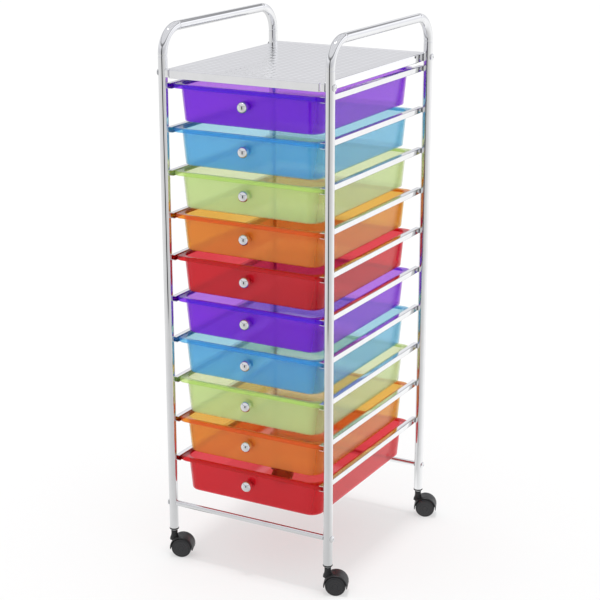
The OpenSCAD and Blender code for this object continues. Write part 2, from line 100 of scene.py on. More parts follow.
@dataclass
class Surface:
    """A closed surface of four-cornered faces.

    Attributes:
        points: Corner points, one row of x, y, z each.
        faces: Four point numbers a face; two equal ones make a triangle.
    """

    points: Array
    faces: Array

    def volume(self) -> float:
        """Signed volume: the sum over triangles of a . (b x c) / 6.

        Returns:
            The volume, which is below 0 where the faces point inwards.
        """
        quads = self.points[self.faces]
        total = 0.0
        for a, b, c in ((0, 1, 2), (0, 2, 3)):
            total += float(np.einsum("ij,ij->i", quads[:, a],
                                     np.cross(quads[:, b], quads[:, c])).sum())
        return total / 6.0

    def outward(self) -> "Surface":
        """Turns the faces over where they point inwards.

        Returns:
            The same surface.
        """
        if self.volume() < 0.0:
            self.faces = self.faces[:, ::-1]
        return self

    def moved(self, matrix: Array, shift: Sequence[float] = (0, 0, 0)) -> "Surface":
        """The surface with each point p turned to matrix . p + shift.

        Args:
            matrix: A 3 by 3 turn or mirror.
            shift: Where the surface's own zero goes.

        Returns:
            The moved surface, pointing outwards.
        """
        points = self.points @ np.asarray(matrix, float).T + np.asarray(shift, float)
        return Surface(points, self.faces.copy()).outward()


def grid_faces(rows: int, columns: int, close_rows: bool, close_columns: bool) -> Array:
    """Faces of a grid: point number is row times columns plus column.

    Args:
        rows: Rows of points.
        columns: Points in a row.
        close_rows: Whether the last row joins the first.
        close_columns: Whether the last column joins the first.

    Returns:
        An array of four point numbers a face.
    """
    r = np.arange(rows if close_rows else rows - 1)
    c = np.arange(columns if close_columns else columns - 1)
    r, c = np.meshgrid(r, c, indexing="ij")
    r2, c2 = (r + 1) % rows, (c + 1) % columns
    corners = [r * columns + c, r * columns + c2, r2 * columns + c2, r2 * columns + c]
    return np.stack(corners, axis=-1).reshape(-1, 4)


def rings(points: Array) -> Surface:
    """A closed surface through rows of rings, whose first and last rows are poles.

    Args:
        points: Rows, ring points and x, y, z.

    Returns:
        The surface, pointing outwards.
    """
    rows, columns = points.shape[:2]
    return Surface(points.reshape(-1, 3), grid_faces(rows, columns, False, True)).outward()


def arc(centre: Sequence[float], radius: float, start: float, end: float, steps: int) -> Array:
    """Points centre + radius (cos a, sin a) for a from start to end, in degrees."""
    a = np.radians(np.linspace(start, end, steps + 1))
    return np.stack([centre[0] + radius * np.cos(a), centre[1] + radius * np.sin(a)], axis=1)


def turned(profile: Array, sides: int,
           shape: Optional[Callable[[Array, Array], Array]] = None) -> Surface:
    """A profile of (radius, height) turned about z, from pole to pole.

    Args:
        profile: Rows of radius and height; the ends get a pole at radius 0.
        sides: Points round the axis.
        shape: Gives each ring's radius from (radius, angle), for a hexagon and such.

    Returns:
        The closed surface.
    """
    ends = [[0.0, profile[0, 1]], [0.0, profile[-1, 1]]]
    rows = np.vstack([ends[:1], profile, ends[1:]])
    angle = np.linspace(0.0, 2.0 * math.pi, sides, endpoint=False)[None, :]
    radius = rows[:, :1] * np.ones_like(angle)
    if shape is not None:
        radius = shape(radius, angle * np.ones_like(radius))
    height = rows[:, 1:] * np.ones_like(angle)
    return rings(np.stack([radius * np.cos(angle), radius * np.sin(angle), height], axis=-1))


def extruded(outer: Array, inner: Array, heights: Array, outer_in: Array,
             inner_in: Array) -> Surface:
    """A strip between an outer and an inner line, carried along z.

    Each row of heights repeats both lines. Near the ends the lines move towards
    each other by outer_in and inner_in, which rounds the long edges off.

    Args:
        outer: Points of the outer line, x and y.
        inner: As many points of the inner line.
        heights: Height of each row.
        outer_in: Share by which the outer line goes to the inner one, by row.
        inner_in: Share by which the inner line goes to the outer one, by row.

    Returns:
        The closed surface.
    """
    out = outer[None] + (inner - outer)[None] * outer_in[:, None, None]
    inn = inner[None] + (outer - inner)[None] * inner_in[:, None, None]
    loop = np.concatenate([out, inn[:, ::-1]], axis=1)
    z = np.broadcast_to(heights[:, None, None], loop.shape[:2] + (1,))
    points = np.concatenate([loop, z], axis=2)
    rows, columns = points.shape[:2]
    faces = grid_faces(rows, columns, False, True)
    i = np.arange(len(outer) - 1)
    cap = np.stack([i, i + 1, columns - 2 - i, columns - 1 - i], axis=1)
    last = (rows - 1) * columns + cap[:, ::-1]
    return Surface(points.reshape(-1, 3), np.vstack([faces, cap, last])).outward()


def box(low: Sequence[float], high: Sequence[float], edge: float) -> Surface:
    """A block from corner low to corner high with its edges cut at 45 degrees.

    A ring point is middle + sign (half - inset - cut). The inset is edge on the
    first and the last ring, and the cut is edge in x and in y by turns.

    Args:
        low: Lowest x, y, z.
        high: Highest x, y, z.
        edge: Width of the cut edge.

    Returns:
        The closed surface.
    """
    low_a, high_a = np.asarray(low, float), np.asarray(high, float)
    middle, half = (low_a + high_a) / 2.0, (high_a - low_a) / 2.0
    signs = np.array([(-1, -1), (1, -1), (1, -1), (1, 1), (1, 1), (-1, 1), (-1, 1), (-1, -1)])
    cut = edge * np.array([(1, 0), (1, 0), (0, 1), (0, 1)] * 2)
    inset = np.array([edge, 0.0, 0.0, edge])[:, None, None]
    pole = np.broadcast_to(middle[:2], (1, 8, 2))
    flat = np.concatenate([pole, middle[:2] + signs * (half[:2] - inset - cut), pole])
    z = np.array([low_a[2], low_a[2], low_a[2] + edge, high_a[2] - edge, high_a[2], high_a[2]])
    return rings(np.dstack([flat, np.repeat(z[:, None], 8, axis=1)]))


def along_y(way: float, rise: float = 1.0) -> Array:
    """The turn or mirror that lays z along way times y, and y along rise times z."""
    return np.array([[1.0, 0.0, 0.0], [0.0, 0.0, way], [0.0, rise, 0.0]])


def hexagon(angle: Array, turn: float = 0.0) -> Array:
    """Radius of a hexagon with corner radius 1: cos 30 over cos of the angle in its sixth."""
    sixth = (angle + turn) % (math.pi / 3.0) - math.pi / 6.0
    return math.cos(math.pi / 6.0) / np.cos(sixth)


def make_piece(name: str, surfaces: Sequence[Surface], finish: "Finish", body: str,
               replaces: Sequence[str], sharp: float = SHARP_EDGE) -> bpy.types.Object:
    """Joins closed surfaces into one named piece on a body.

    Equal points are welded, faces with two equal corners become triangles, and
    the points go to metres from the frame's origin.

    Args:
        name: Name of the piece.
        surfaces: The closed surfaces.
        finish: Its finish.
        body: CAD body that it rides on.
        replaces: CAD nodes that it stands for.
        sharp: Edges bent by more than this angle stay sharp.

    Returns:
        The new object.
    """
    points, quads, start = [], [], 0
    for surface in surfaces:
        keys = np.round(surface.points, 5)
        unique, back = np.unique(keys, axis=0, return_inverse=True)
        points.append(unique)
        quads.append(back.reshape(-1)[surface.faces] + start)
        start += len(unique)
    co = (np.vstack(points) - AXLE_MIDDLE) * MM
    quad = np.vstack(quads)
    same = quad == np.roll(quad, -1, axis=1)
    count = same.sum(axis=1)
    whole = quad[count == 0]
    part, mark = quad[count == 1], same[count == 1]
    triangles = part[~mark].reshape(-1, 3)
    corners = np.concatenate([whole.reshape(-1), triangles.reshape(-1)])
    sizes = np.concatenate([np.full(len(whole), 4), np.full(len(triangles), 3)])
    mesh = bpy.data.meshes.new(name)
    mesh.vertices.add(len(co))
    mesh.vertices.foreach_set("co", co.reshape(-1))
    mesh.loops.add(len(corners))
    mesh.loops.foreach_set("vertex_index", corners.astype(np.int32))
    mesh.polygons.add(len(sizes))
    starts = np.concatenate([[0], np.cumsum(sizes)[:-1]])
    mesh.polygons.foreach_set("loop_start", starts.astype(np.int32))
    mesh.polygons.foreach_set("use_smooth", np.ones(len(sizes), bool))
    mesh.update(calc_edges=True)
    mesh.validate()
    mesh.set_sharp_from_angle(angle=sharp)
    piece = bpy.data.objects.new(name, mesh)
    bpy.context.scene.collection.objects.link(piece)
    piece.data.materials.append(finish.material())
    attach(piece, body)
    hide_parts(*replaces)
    LOG.info("%s: %d faces on %s", name, len(sizes), body)
    return piece


# Finishes


class Tree:
    """A material's or the world's node tree, with short ways to add nodes."""

    def __init__(self, owner: bpy.types.ID) -> None:
        """Empties the owner's node tree.

        Args:
            owner: The material or the world.
        """
        owner.use_nodes = True
        self.tree = owner.node_tree
        self.tree.nodes.clear()

    def add(self, kind: str, inputs: Optional[dict] = None, **settings: object) -> bpy.types.Node:
        """Adds a node of that kind.

        Args:
            kind: Blender's node type name.
            inputs: Value or socket for each named or numbered input.
            settings: The node's own settings.

        Returns:
            The node.
        """
        node = self.tree.nodes.new(kind)
        for key, value in settings.items():
            setattr(node, key, value)
        for key, value in (inputs or {}).items():
            if isinstance(value, bpy.types.NodeSocket):
                self.tree.links.new(value, node.inputs[key])
            else:
                node.inputs[key].default_value = value
        return node

    def math(self, operation: str, a: object, b: object = 0.0, c: object = 0.0) -> Socket:
        """The result of one Math node."""
        return self.add("ShaderNodeMath", {0: a, 1: b, 2: c}, operation=operation).outputs[0]

    def span(self, value: Socket, low: float, high: float, to_low: float, to_high: float,
             smooth: bool = False) -> Socket:
        """A value carried over in proportion from one span to another, and held at its ends.

        Args:
            value: The value.
            low: Start of its span.
            high: End of its span.
            to_low: Result at low.
            to_high: Result at high.
            smooth: Whether the change starts and ends softly.

        Returns:
            The result.
        """
        kind = "SMOOTHSTEP" if smooth else "LINEAR"
        node = self.add("ShaderNodeMapRange", {0: value, 1: low, 2: high, 3: to_low, 4: to_high},
                        interpolation_type=kind)
        return node.outputs[0]

    def place(self) -> Socket:
        """Object coordinates, in metres from the frame's origin."""
        return self.add("ShaderNodeTexCoord").outputs["Object"]

    def noise(self, scale: float, detail: float = 3.0, rough: float = 0.5) -> Socket:
        """Noise over the piece's place.

        Args:
            scale: Scale in waves a metre.
            detail: Number of finer layers.
            rough: Share that each finer layer keeps.

        Returns:
            The noise, from 0 to 1.
        """
        node = self.add("ShaderNodeTexNoise", {"Vector": self.place(), "Scale": scale,
                                               "Detail": detail, "Roughness": rough})
        return node.outputs[0]

    def bump(self, height: Socket, distance: float, strength: float = 1.0,
             normal: Optional[Socket] = None) -> Socket:
        """A normal that leans with the slope of a height.

        Args:
            height: The height, from 0 to 1.
            distance: What 1 stands for, in metres.
            strength: Share of the lean.
            normal: Normal to start from, or None for the surface's own.

        Returns:
            The normal.
        """
        inputs: dict = {"Height": height, "Distance": distance, "Strength": strength}
        if normal is not None:
            inputs["Normal"] = normal
        return self.add("ShaderNodeBump", inputs).outputs[0]

    def blend_colors(self, factor: Socket, a: Sequence[float], b: Sequence[float]) -> Socket:
        """A straight blend of two colours.

        Args:
            factor: 0 for a, 1 for b.
            a: The first colour.
            b: The second colour.

        Returns:
            The colour.
        """
        node = self.add("ShaderNodeMix", {0: factor}, data_type="RGBA")
        node.inputs[6].default_value = (*a[:3], 1.0)
        node.inputs[7].default_value = (*b[:3], 1.0)
        return node.outputs[2]

    def mix(self, factor: object, a: bpy.types.Node, b: bpy.types.Node) -> bpy.types.Node:
        """Shader a at factor 0 and b at factor 1."""
        return self.add("ShaderNodeMixShader", {0: factor, 1: a.outputs[0], 2: b.outputs[0]})

    def surface(self, shader: bpy.types.Node) -> None:
        """Makes the shader the surface of the material."""
        self.add("ShaderNodeOutputMaterial", {"Surface": shader.outputs[0]})

    def principled(self, color: Socket, rough: Socket, normal: Socket,
                   **fixed: float) -> bpy.types.Node:
        """A Principled shader, with the fixed values set on its own sockets."""
        return self.add("ShaderNodeBsdfPrincipled", {
            "Base Color": color, "Roughness": rough, "Normal": normal, **fixed})


def shaded(color: Color, share: float) -> Color:
    """The colour times the share."""
    return (color[0] * share, color[1] * share, color[2] * share)


@dataclass(frozen=True)
class Finish:
    """A finish that makes its material once.

    Attributes:
        slot: The record's material slot; not used.
        name: The material's name.
    """

    slot: str
    name: str

    def material(self) -> bpy.types.Material:
        """Finds the material of that name, or makes it at the first call.

        Returns:
            The material.
        """
        found = bpy.data.materials.get(self.name)
        if found is None:
            found = bpy.data.materials.new(self.name)
            self.draw(Tree(found))
        return found

    def draw(self, tree: Tree) -> None:
        """Adds the nodes; each finish has its own."""
        raise NotImplementedError


@dataclass(frozen=True)
class Chrome(Finish):
    """Bright chrome on steel: a clear mirror with faint haze, marks and plating waves.

    Attributes:
        color: Colour of the metal.
        clear: Roughness where it is clearest.
        hazy: Roughness in the haze.
        wave: Height of the waves in the plating, in metres.
        marks: Share of the handling marks in the haze.
        scales: Scale of the haze, the marks and the waves, in waves a metre.
        dim: Share of the colour that is left in the haze.
    """

    color: Color = (0.86, 0.865, 0.875)
    clear: float = 0.025
    hazy: float = 0.075
    wave: float = 0.00002
    marks: float = 0.35
    scales: tuple[float, ...] = (38.0, 420.0, 95.0)
    dim: float = 0.95

    def draw(self, tree: Tree) -> None:
        """Roughness follows two noises; slow waves bend the reflections a little.

        The mixed noise is marks times the fine one plus (1 - marks) times the haze.

        Args:
            tree: The material's empty tree.
        """
        haze_scale, mark_scale, wave_scale = self.scales
        haze = tree.noise(haze_scale, 4.0, 0.6)
        rest = tree.math("MULTIPLY", haze, 1.0 - self.marks)
        mixed = tree.math("MULTIPLY_ADD", tree.noise(mark_scale, 2.0), self.marks, rest)
        rough = tree.span(mixed, 0.38, 0.72, self.clear, self.hazy)
        shade = tree.span(haze, 0.3, 0.75, 0.0, 1.0)
        color = tree.blend_colors(shade, self.color, shaded(self.color, self.dim))
        normal = tree.bump(tree.noise(wave_scale, 2.0, 0.4), self.wave, 0.6)
        tree.surface(tree.principled(color, rough, normal, Metallic=1.0))


@dataclass(frozen=True)
class Zinc(Finish):
    """Dull zinc on small steel pieces.

    Attributes:
        color: Lightest colour of the clouds.
        dim: Share of it in the darkest clouds.
        scales: Scale of the clouds and of the pits, in waves a metre.
        pits: Depth of the pits, in metres.
    """

    color: Color = (0.62, 0.63, 0.64)
    dim: float = 0.85
    scales: tuple[float, ...] = (260.0, 1800.0)
    pits: float = 0.00002

    def draw(self, tree: Tree) -> None:
        """A cloudy grey metal with fine pits; the clouds set colour and roughness.

        Args:
            tree: The material's empty tree.
        """
        cloud = tree.noise(self.scales[0], 5.0, 0.65)
        rough = tree.span(cloud, 0.3, 0.7, 0.28, 0.5)
        color = tree.blend_colors(cloud, shaded(self.color, self.dim), self.color)
        normal = tree.bump(tree.noise(self.scales[1], 2.0), self.pits, 0.5)
        tree.surface(tree.principled(color, rough, normal, Metallic=1.0))


@dataclass(frozen=True)
class BlackPlastic(Finish):
    """Moulded black nylon with a fine spark grain.

    Attributes:
        color: Darkest colour.
        worn: How many times lighter the handled places are.
        grain: Scale of the grain, in waves a metre.
        depth: Depth of the grain, in metres.
        slow: Scale of the shine changes, in waves a metre.
        rough_low: Roughness of the shiny places.
        rough_high: Roughness of the dull places.
    """

    color: Color = (0.010, 0.010, 0.011)
    worn: float = 1.7
    grain: float = 2600.0
    depth: float = 0.00003
    slow: float = 90.0
    rough_low: float = 0.34
    rough_high: float = 0.52

    def draw(self, tree: Tree) -> None:
        """Grain in the bump, and slow shine changes from handling.

        Args:
            tree: The material's empty tree.
        """
        slow = tree.noise(self.slow)
        rough = tree.span(slow, 0.35, 0.7, self.rough_low, self.rough_high)
        color = tree.blend_colors(slow, self.color, shaded(self.color, self.worn))
        normal = tree.bump(tree.noise(self.grain, 3.0, 0.6), self.depth, 0.55)
        tree.surface(tree.principled(color, rough, normal, IOR=1.5))


@dataclass(frozen=True)
class TintedPlastic(Finish):
    """Tinted translucent tray plastic: it lets light straight through, and its milk glows.

    Attributes:
        tint: Colour that one face gives to the light that goes straight through.
        glow: Colour of the milk.
        clear: Share of the light that a face of the floor, the sides or the back lets
            straight through.
        clear_front: That share on the thicker front wall.
        clear_rim: That share on the thick rim.
        rim_shade_power: Power that the milk's colour takes on the rim, where the tint is also
            squared: painted shade that darkens and deepens the rim and its lip.
        passing: Share of the milk's light that comes through from behind.
        front_y: Where the front wall's milk gives way to the sides', in metres.
        mirror: Share that a face mirrors when it is seen straight on.
        swell: Height of the slow swell of the moulded faces, in metres.
        grain: Height of the fine grain, in metres.
    """

    tint: Color = (0.94, 0.75, 1.0)
    glow: Color = (0.25, 0.035, 0.8)
    clear: float = 0.77
    clear_front: float = 0.5
    clear_rim: float = 0.62
    rim_shade_power: float = 1.5
    passing: float = 0.4
    front_y: tuple[float, float] = (-0.184, -0.172)
    mirror: float = 0.03
    swell: float = 0.0004
    grain: float = 0.000004

    def draw(self, tree: Tree) -> None:
        """The clear share falls over the rim; a slow swell bends the gloss a little.

        The point attribute rim is 0 on the tray's wall and 1 on the flange and its lip; there the
        tint is squared and the milk's colour raised to a power, which paints shade on the rim. At a
        slant a face mirrors mirror + (1 - mirror) (1 - cos)^5 on both sides.

        Args:
            tree: The material's empty tree.
        """
        rim = tree.add("ShaderNodeAttribute", attribute_name="rim").outputs["Fac"]
        flow = tree.span(tree.noise(5.0, 1.0, 0.4), 0.35, 0.65, 0.0, 0.15, True)
        depth = tree.math("MAXIMUM", rim, flow)
        # Painted shade: the rim and its lip take the squared tint and a deeper milk colour; the
        # slow noise varies the colour a little at random.
        tint = tree.blend_colors(depth, self.tint, tuple(a * a for a in self.tint))
        glow = tree.blend_colors(depth, self.glow, tuple(a ** self.rim_shade_power for a in self.glow))
        rough = tree.span(tree.noise(22.0, 2.0), 0.3, 0.7, 0.06, 0.12)
        swell = tree.bump(tree.noise(9.0, 0.0), self.swell, 0.3)
        normal = tree.bump(tree.noise(1500.0, 1.0), self.grain, 0.3, swell)
        shell = tree.principled(glow, rough, normal, IOR=1.46)
        passed = tree.add("ShaderNodeBsdfTranslucent", {"Color": glow, "Normal": normal})
        milk = tree.mix(self.passing, shell, passed)
        through = tree.add("ShaderNodeBsdfTransparent", {"Color": tint})
        y = tree.add("ShaderNodeSeparateXYZ", {0: tree.place()}).outputs[1]
        wall = tree.span(y, *self.front_y, self.clear_front, self.clear, True)
        rimmed = tree.math("SUBTRACT", self.clear_rim, wall)
        share = tree.math("MULTIPLY_ADD", depth, rimmed, wall)
        slant = tree.add("ShaderNodeLayerWeight", {"Blend": 0.5, "Normal": normal})
        steep = tree.math("POWER", slant.outputs["Facing"], 5.0)
        mirrored = tree.math("MULTIPLY_ADD", steep, 1.0 - self.mirror, self.mirror)
        gloss = tree.add("ShaderNodeBsdfAnisotropic", {"Roughness": rough, "Normal": normal})
        tree.surface(tree.mix(mirrored, tree.mix(share, milk, through), gloss))


CHROME_TUBE = Chrome("chrome_tube", "chromed_tube")
CHROME_RAIL = Chrome("chrome_rail", "chromed_rail", hazy=0.11)
CHROME_SHELF = Chrome("chrome_shelf", "embossed_chrome", (0.95, 0.952, 0.965), 0.035, 0.08,
                      0.00004)
CHROME_BOLT = Chrome("chrome_fastener", "chromed_bolt", hazy=0.11)
CHROME_KNOB = Chrome("chrome_knob", "chromed_knob", clear=0.02, hazy=0.06, wave=0.00001)
ZINC = Zinc("zinc_fastener", "zinc_steel")
BLACK = BlackPlastic("black_plastic", "black_nylon")
WHEEL = BlackPlastic("wheel_plastic", "wheel_nylon", color=(0.018, 0.018, 0.020), grain=1500.0,
                     rough_low=0.28, rough_high=0.42)
TINTS = {tint: TintedPlastic(tint.value, f"{tint.name.lower()}_tray", clear_color, milk_color)
         for tint, clear_color, milk_color in (
             (Tint.PURPLE, (0.86, 0.59, 1.0), (0.29, 0.016, 1.0)),
             (Tint.BLUE, (0.81, 0.985, 1.0), (0.15, 0.58, 1.0)),
             (Tint.GREEN, (0.975, 1.0, 0.86), (0.82, 1.0, 0.48)),
             (Tint.ORANGE, (1.0, 0.85, 0.42), (1.0, 0.34, 0.065)),
             (Tint.RED, (1.0, 0.36, 0.40), (0.8, 0.022, 0.05)))}


# Sub-assemblies


@dataclass
class SideFrame:
    """One side tube bent over the handle, and its ten rails.

    Attributes:
        side: Left or right.
        bend: Centreline radius of the handle's bends.
        handle_z: Height of the handle's centreline.
        wall: Wall of the tube.
        crimp: Depth of the mark that the bending tool leaves at each end of a bend.
        crimp_l: Length over which that mark fades.
        bore_depth: How far the bore is open at the leg ends.
        edge: Width of the cut edges of tubes and rails.
        rail_half: Half the rails' length.
        rail_outer: The rails' outer side, from the middle of the cart.
        rail_depth: The rails' width, from their outer side to the drawer.
        rail_h: Height of the rails.
        sheet: Wall of the rails.
        fold: Outside and inside radius of the rails' folds.
        tab_y: Front of the stop tab.
        tab_edge: Width of the tab's cut edges.
    """

    side: Side
    bend: float = 45.0
    handle_z: float = 951.0
    wall: float = 1.2
    crimp: float = 0.42
    crimp_l: float = 1.5
    bore_depth: float = 25.0
    edge: float = 0.3
    rail_half: float = 187.0
    rail_outer: float = 149.5
    rail_depth: float = 9.0
    rail_h: float = 10.0
    sheet: float = 1.0
    fold: tuple[float, float] = (1.4, 0.4)
    tab_y: float = 171.5
    tab_edge: float = 0.15

    def path(self) -> tuple[Array, Array]:
        """Stations along the tube: centres and radii, from one leg end to the other.

        The line is a leg, a quarter turn, the handle, a quarter turn and a leg.
        A narrow dip, crimp times exp(-(s / crimp_l)^2), marks both ends of each bend.

        Returns:
            The centres and the radii.
        """
        leg = self.handle_z - self.bend - LEG_END
        quarter = self.bend * math.pi / 2.0
        handle = 2.0 * (LEG_Y - self.bend)
        marks = np.cumsum([0.0, leg, quarter, handle, quarter, leg])
        near = np.linspace(-6.0, 6.0, 25)
        stations = [np.linspace(a, b, n) for (a, b), n in
                    zip(zip(marks[:-1], marks[1:]), (24, 40, 16, 40, 24))]
        stations += [m + near for m in marks[1:5]]
        s = np.unique(np.round(np.concatenate(stations), 3))
        top = self.handle_z - self.bend
        turn1 = (s - marks[1]) / self.bend
        turn2 = (s - marks[3]) / self.bend
        cases = [s <= marks[1], s <= marks[2], s <= marks[3], s <= marks[4]]
        y = np.select(cases, [np.full_like(s, -LEG_Y),
                              -LEG_Y + self.bend - self.bend * np.cos(turn1),
                              -LEG_Y + self.bend + (s - marks[2]),
                              LEG_Y - self.bend + self.bend * np.sin(turn2)],
                      np.full_like(s, LEG_Y))
        z = np.select(cases, [LEG_END + s, top + self.bend * np.sin(turn1),
                              np.full_like(s, self.handle_z),
                              top + self.bend * np.cos(turn2)], top - (s - marks[4]))
        dip = np.exp(-((s - marks[1:5, None]) / self.crimp_l) ** 2).sum(axis=0)
        radius = TUBE_R - self.crimp * dip
        centre = np.stack([np.full_like(s, self.side.value * LEG_X), y, z], axis=1)
        return centre, radius

    def tube(self) -> Surface:
        """The tube, whose bore is open bore_depth deep at both leg ends.

        Each end has six rings: the bore's end, the bore, the cut end face and the
        outside. A ring point is centre + radius (cos a . x + sin a . (tangent x x)).

        Returns:
            The closed tube.
        """
        centre, radius = self.path()
        bore, e = TUBE_R - self.wall, self.edge
        depth = np.array([[self.bore_depth, self.bore_depth, e, 0.0, 0.0, e]]).T
        end_r = np.array([0.0, bore, bore, bore + e, TUBE_R - e, TUBE_R])
        up, across = np.array([0.0, 0.0, 1.0]), np.array([1.0, 0.0, 0.0])
        tangent = np.gradient(centre, axis=0)
        tangent /= np.linalg.norm(tangent, axis=1, keepdims=True)
        path = np.vstack([centre[0] + depth * up, centre[1:-1], centre[-1] + depth[::-1] * up])
        radius = np.concatenate([end_r, radius[1:-1], end_r[::-1]])
        upright = np.tile(up, (len(end_r), 1))
        tangent = np.vstack([upright, tangent[1:-1], -upright])
        a = np.linspace(0.0, 2.0 * math.pi, 64, endpoint=False)[None, :, None]
        ring = np.cos(a) * across + np.sin(a) * np.cross(tangent, across)[:, None]
        return rings(path[:, None] + radius[:, None, None] * ring)

    def channel(self, z: float) -> list[Surface]:
        """One rail: a C section with folded corners carried along y, and its stop tab.

        The section is two lines a sheet apart, with an arc at each fold.

        Args:
            z: Height of the rail's middle.

        Returns:
            The channel and the tab.
        """
        h, d, t = self.rail_h / 2.0, self.rail_depth, self.sheet
        out, into = self.fold
        outer = np.vstack([[[-d, h]], arc((-out, h - out), out, 90, 0, 6),
                           arc((-out, -h + out), out, 0, -90, 6), [[-d, -h]]])
        inner = np.vstack([[[-d, h - t]], arc((-t - into, h - t - into), into, 90, 0, 6),
                           arc((-t - into, -h + t + into), into, 0, -90, 6), [[-d, -h + t]]])
        end, e = self.rail_half, self.edge
        rows = np.concatenate([[-end, e - end], np.linspace(-180.0, 180.0, 25), [end - e, end]])
        inset = np.zeros(len(rows))
        inset[[0, -1]] = e / t
        section = extruded(outer, inner, rows, inset, inset)
        body = section.moved(along_y(1.0), (self.rail_outer, 0.0, z))
        tab = box((self.rail_outer - d, self.tab_y, z - h + t),
                  (self.rail_outer - t, self.tab_y + t, z + h - t), self.tab_edge)
        flip = np.diag([float(self.side.value), 1.0, 1.0])
        return [body.moved(flip), tab.moved(flip)]

    def build(self) -> None:
        """Makes the tube and the rails of this side."""
        word = self.side.name.lower()
        make_piece(f"{word}_bent_tube", [self.tube()], CHROME_TUBE, "frame", [f"{word}_side_tube"])
        rails = [s for i in range(DRAWERS) for s in self.channel(FIRST_RAIL - DRAWER_PITCH * i)]
        make_piece(f"{word}_channel_rails", rails, CHROME_RAIL, "frame", [f"{word}_rails"])


@dataclass
class TopShelf:
    """The folded and embossed sheet between the side tubes.

    Attributes:
        half_w: Half the width over the side edges.
        half_d: Half the depth over the front and rear edges.
        drop: Height of the folded edge.
        fold: Outside radius of the fold.
        hem: Width of the hem under the front and rear edges.
        hem_r: Outside radius of the hem's fold.
        sheet: Wall of the sheet.
        tab: Width of the tab at each end of the front and rear edges.
        slit: Slit beside each tab.
        tab_rise: How much shorter the tabs are than the edge.
        pitch: Pitch of the embossed buttons.
        emboss: Height of the buttons.
        border: Plain band inside the folds.
        fade: Width over which the embossing starts.
        sharp: Angle from which an edge stays sharp, in degrees.
    """

    half_w: float = 149.5
    half_d: float = 191.0
    drop: float = 15.0
    fold: float = 2.4
    hem: float = 8.0
    hem_r: float = 1.0
    sheet: float = 1.0
    tab: float = 7.6
    slit: float = 0.9
    tab_rise: float = 1.2
    pitch: float = 15.2
    emboss: float = 0.42
    border: float = 9.0
    fade: float = 2.0
    sharp: float = 50.0

    def section(self, half: float, hem: float, last: Sequence[float]) -> tuple[Array, Array]:
        """Half section from the middle out: distances and depths below the top.

        Args:
            half: Half the width or depth of the shelf.
            hem: Length of the hem turned in under the edge, or 0.
            last: Distances of the last lines before the fold.

        Returns:
            The distances from the middle and the depths.
        """
        step = self.pitch / 8.0
        flat = np.arange(0.0, last[0] - 0.4, step)
        flat = np.concatenate([flat, last])
        bend = arc((half - self.fold, -self.fold), self.fold, 90, 0, 8)
        wall = np.array([[half, -6.0], [half, -10.0], [half, self.tab_rise - self.drop]])
        rows = [np.stack([flat, np.zeros_like(flat)], 1), bend, wall]
        if hem:
            r = self.hem_r
            rows.append(arc((half - r, r - self.drop), r, 0, -90, 5)[1:])
            rows.append(np.array([[half - hem / 2.0, -self.drop], [half - hem, -self.drop]]))
        else:
            rows.append(np.array([[half, -self.drop]]))
        line = np.vstack(rows)
        return line[:, 0], line[:, 1]

    def build(self) -> None:
        """Makes the sheet: z is the lower of the two sections, plus the embossing.

        The embossing is emboss . cos^2(pi x / pitch) . cos^2(pi y / pitch), faded
        out over the plain border. Faces in the slits, under the tabs and of the
        hem behind them are left out, and Solidify gives the sheet its wall.
        """
        tab_x = self.half_w - self.tab
        slit_end = self.half_d - self.fold - self.sheet
        x, zx = self.section(self.half_w, 0.0, (tab_x - self.slit, tab_x, tab_x + 2.6))
        y, zy = self.section(self.half_d, self.hem, (slit_end - 3.0, slit_end))
        x, zx = np.concatenate([-x[:0:-1], x]), np.concatenate([zx[:0:-1], zx])
        y, zy = np.concatenate([-y[:0:-1], y]), np.concatenate([zy[:0:-1], zy])
        px, py = np.meshgrid(x, y, indexing="ij")
        pz = np.minimum(zx[:, None], zy[None, :])
        inside = np.minimum(self.half_w - np.abs(px), self.half_d - np.abs(py))
        fade = np.clip((inside - self.border) / self.fade, 0.0, 1.0)
        wave = np.cos(np.pi * px / self.pitch) ** 2 * np.cos(np.pi * py / self.pitch) ** 2
        pz = pz - self.emboss * (1.0 - wave) * fade * (pz > -1e-9)
        points = np.stack([px, py, pz + SHELF_TOP], axis=-1).reshape(-1, 3)
        faces = grid_faces(len(x), len(y), False, False)
        middle = points[faces].mean(axis=1)
        out_x, out_y = np.abs(middle[:, 0]), np.abs(middle[:, 1])
        at_end = out_y > slit_end
        slit = (np.abs(out_x - tab_x + self.slit / 2.0) < self.slit / 2.0) & at_end
        low = middle[:, 2] < SHELF_TOP - self.drop + self.tab_rise
        hem = (out_x < self.half_w - 0.05) & (out_y > self.half_d - self.hem - 0.1)
        under = low & (out_x > tab_x - self.slit) & (at_end | hem)
        sheet = Surface(points, faces[~(slit | under)][:, ::-1])
        piece = make_piece("embossed_shelf", [sheet], CHROME_SHELF, "frame", ["top_shelf"],
                           math.radians(self.sharp))
        wall = piece.modifiers.new("sheet", "SOLIDIFY")
        wall.thickness = self.sheet * MM
        wall.offset = -1.0
        wall.use_even_offset = False


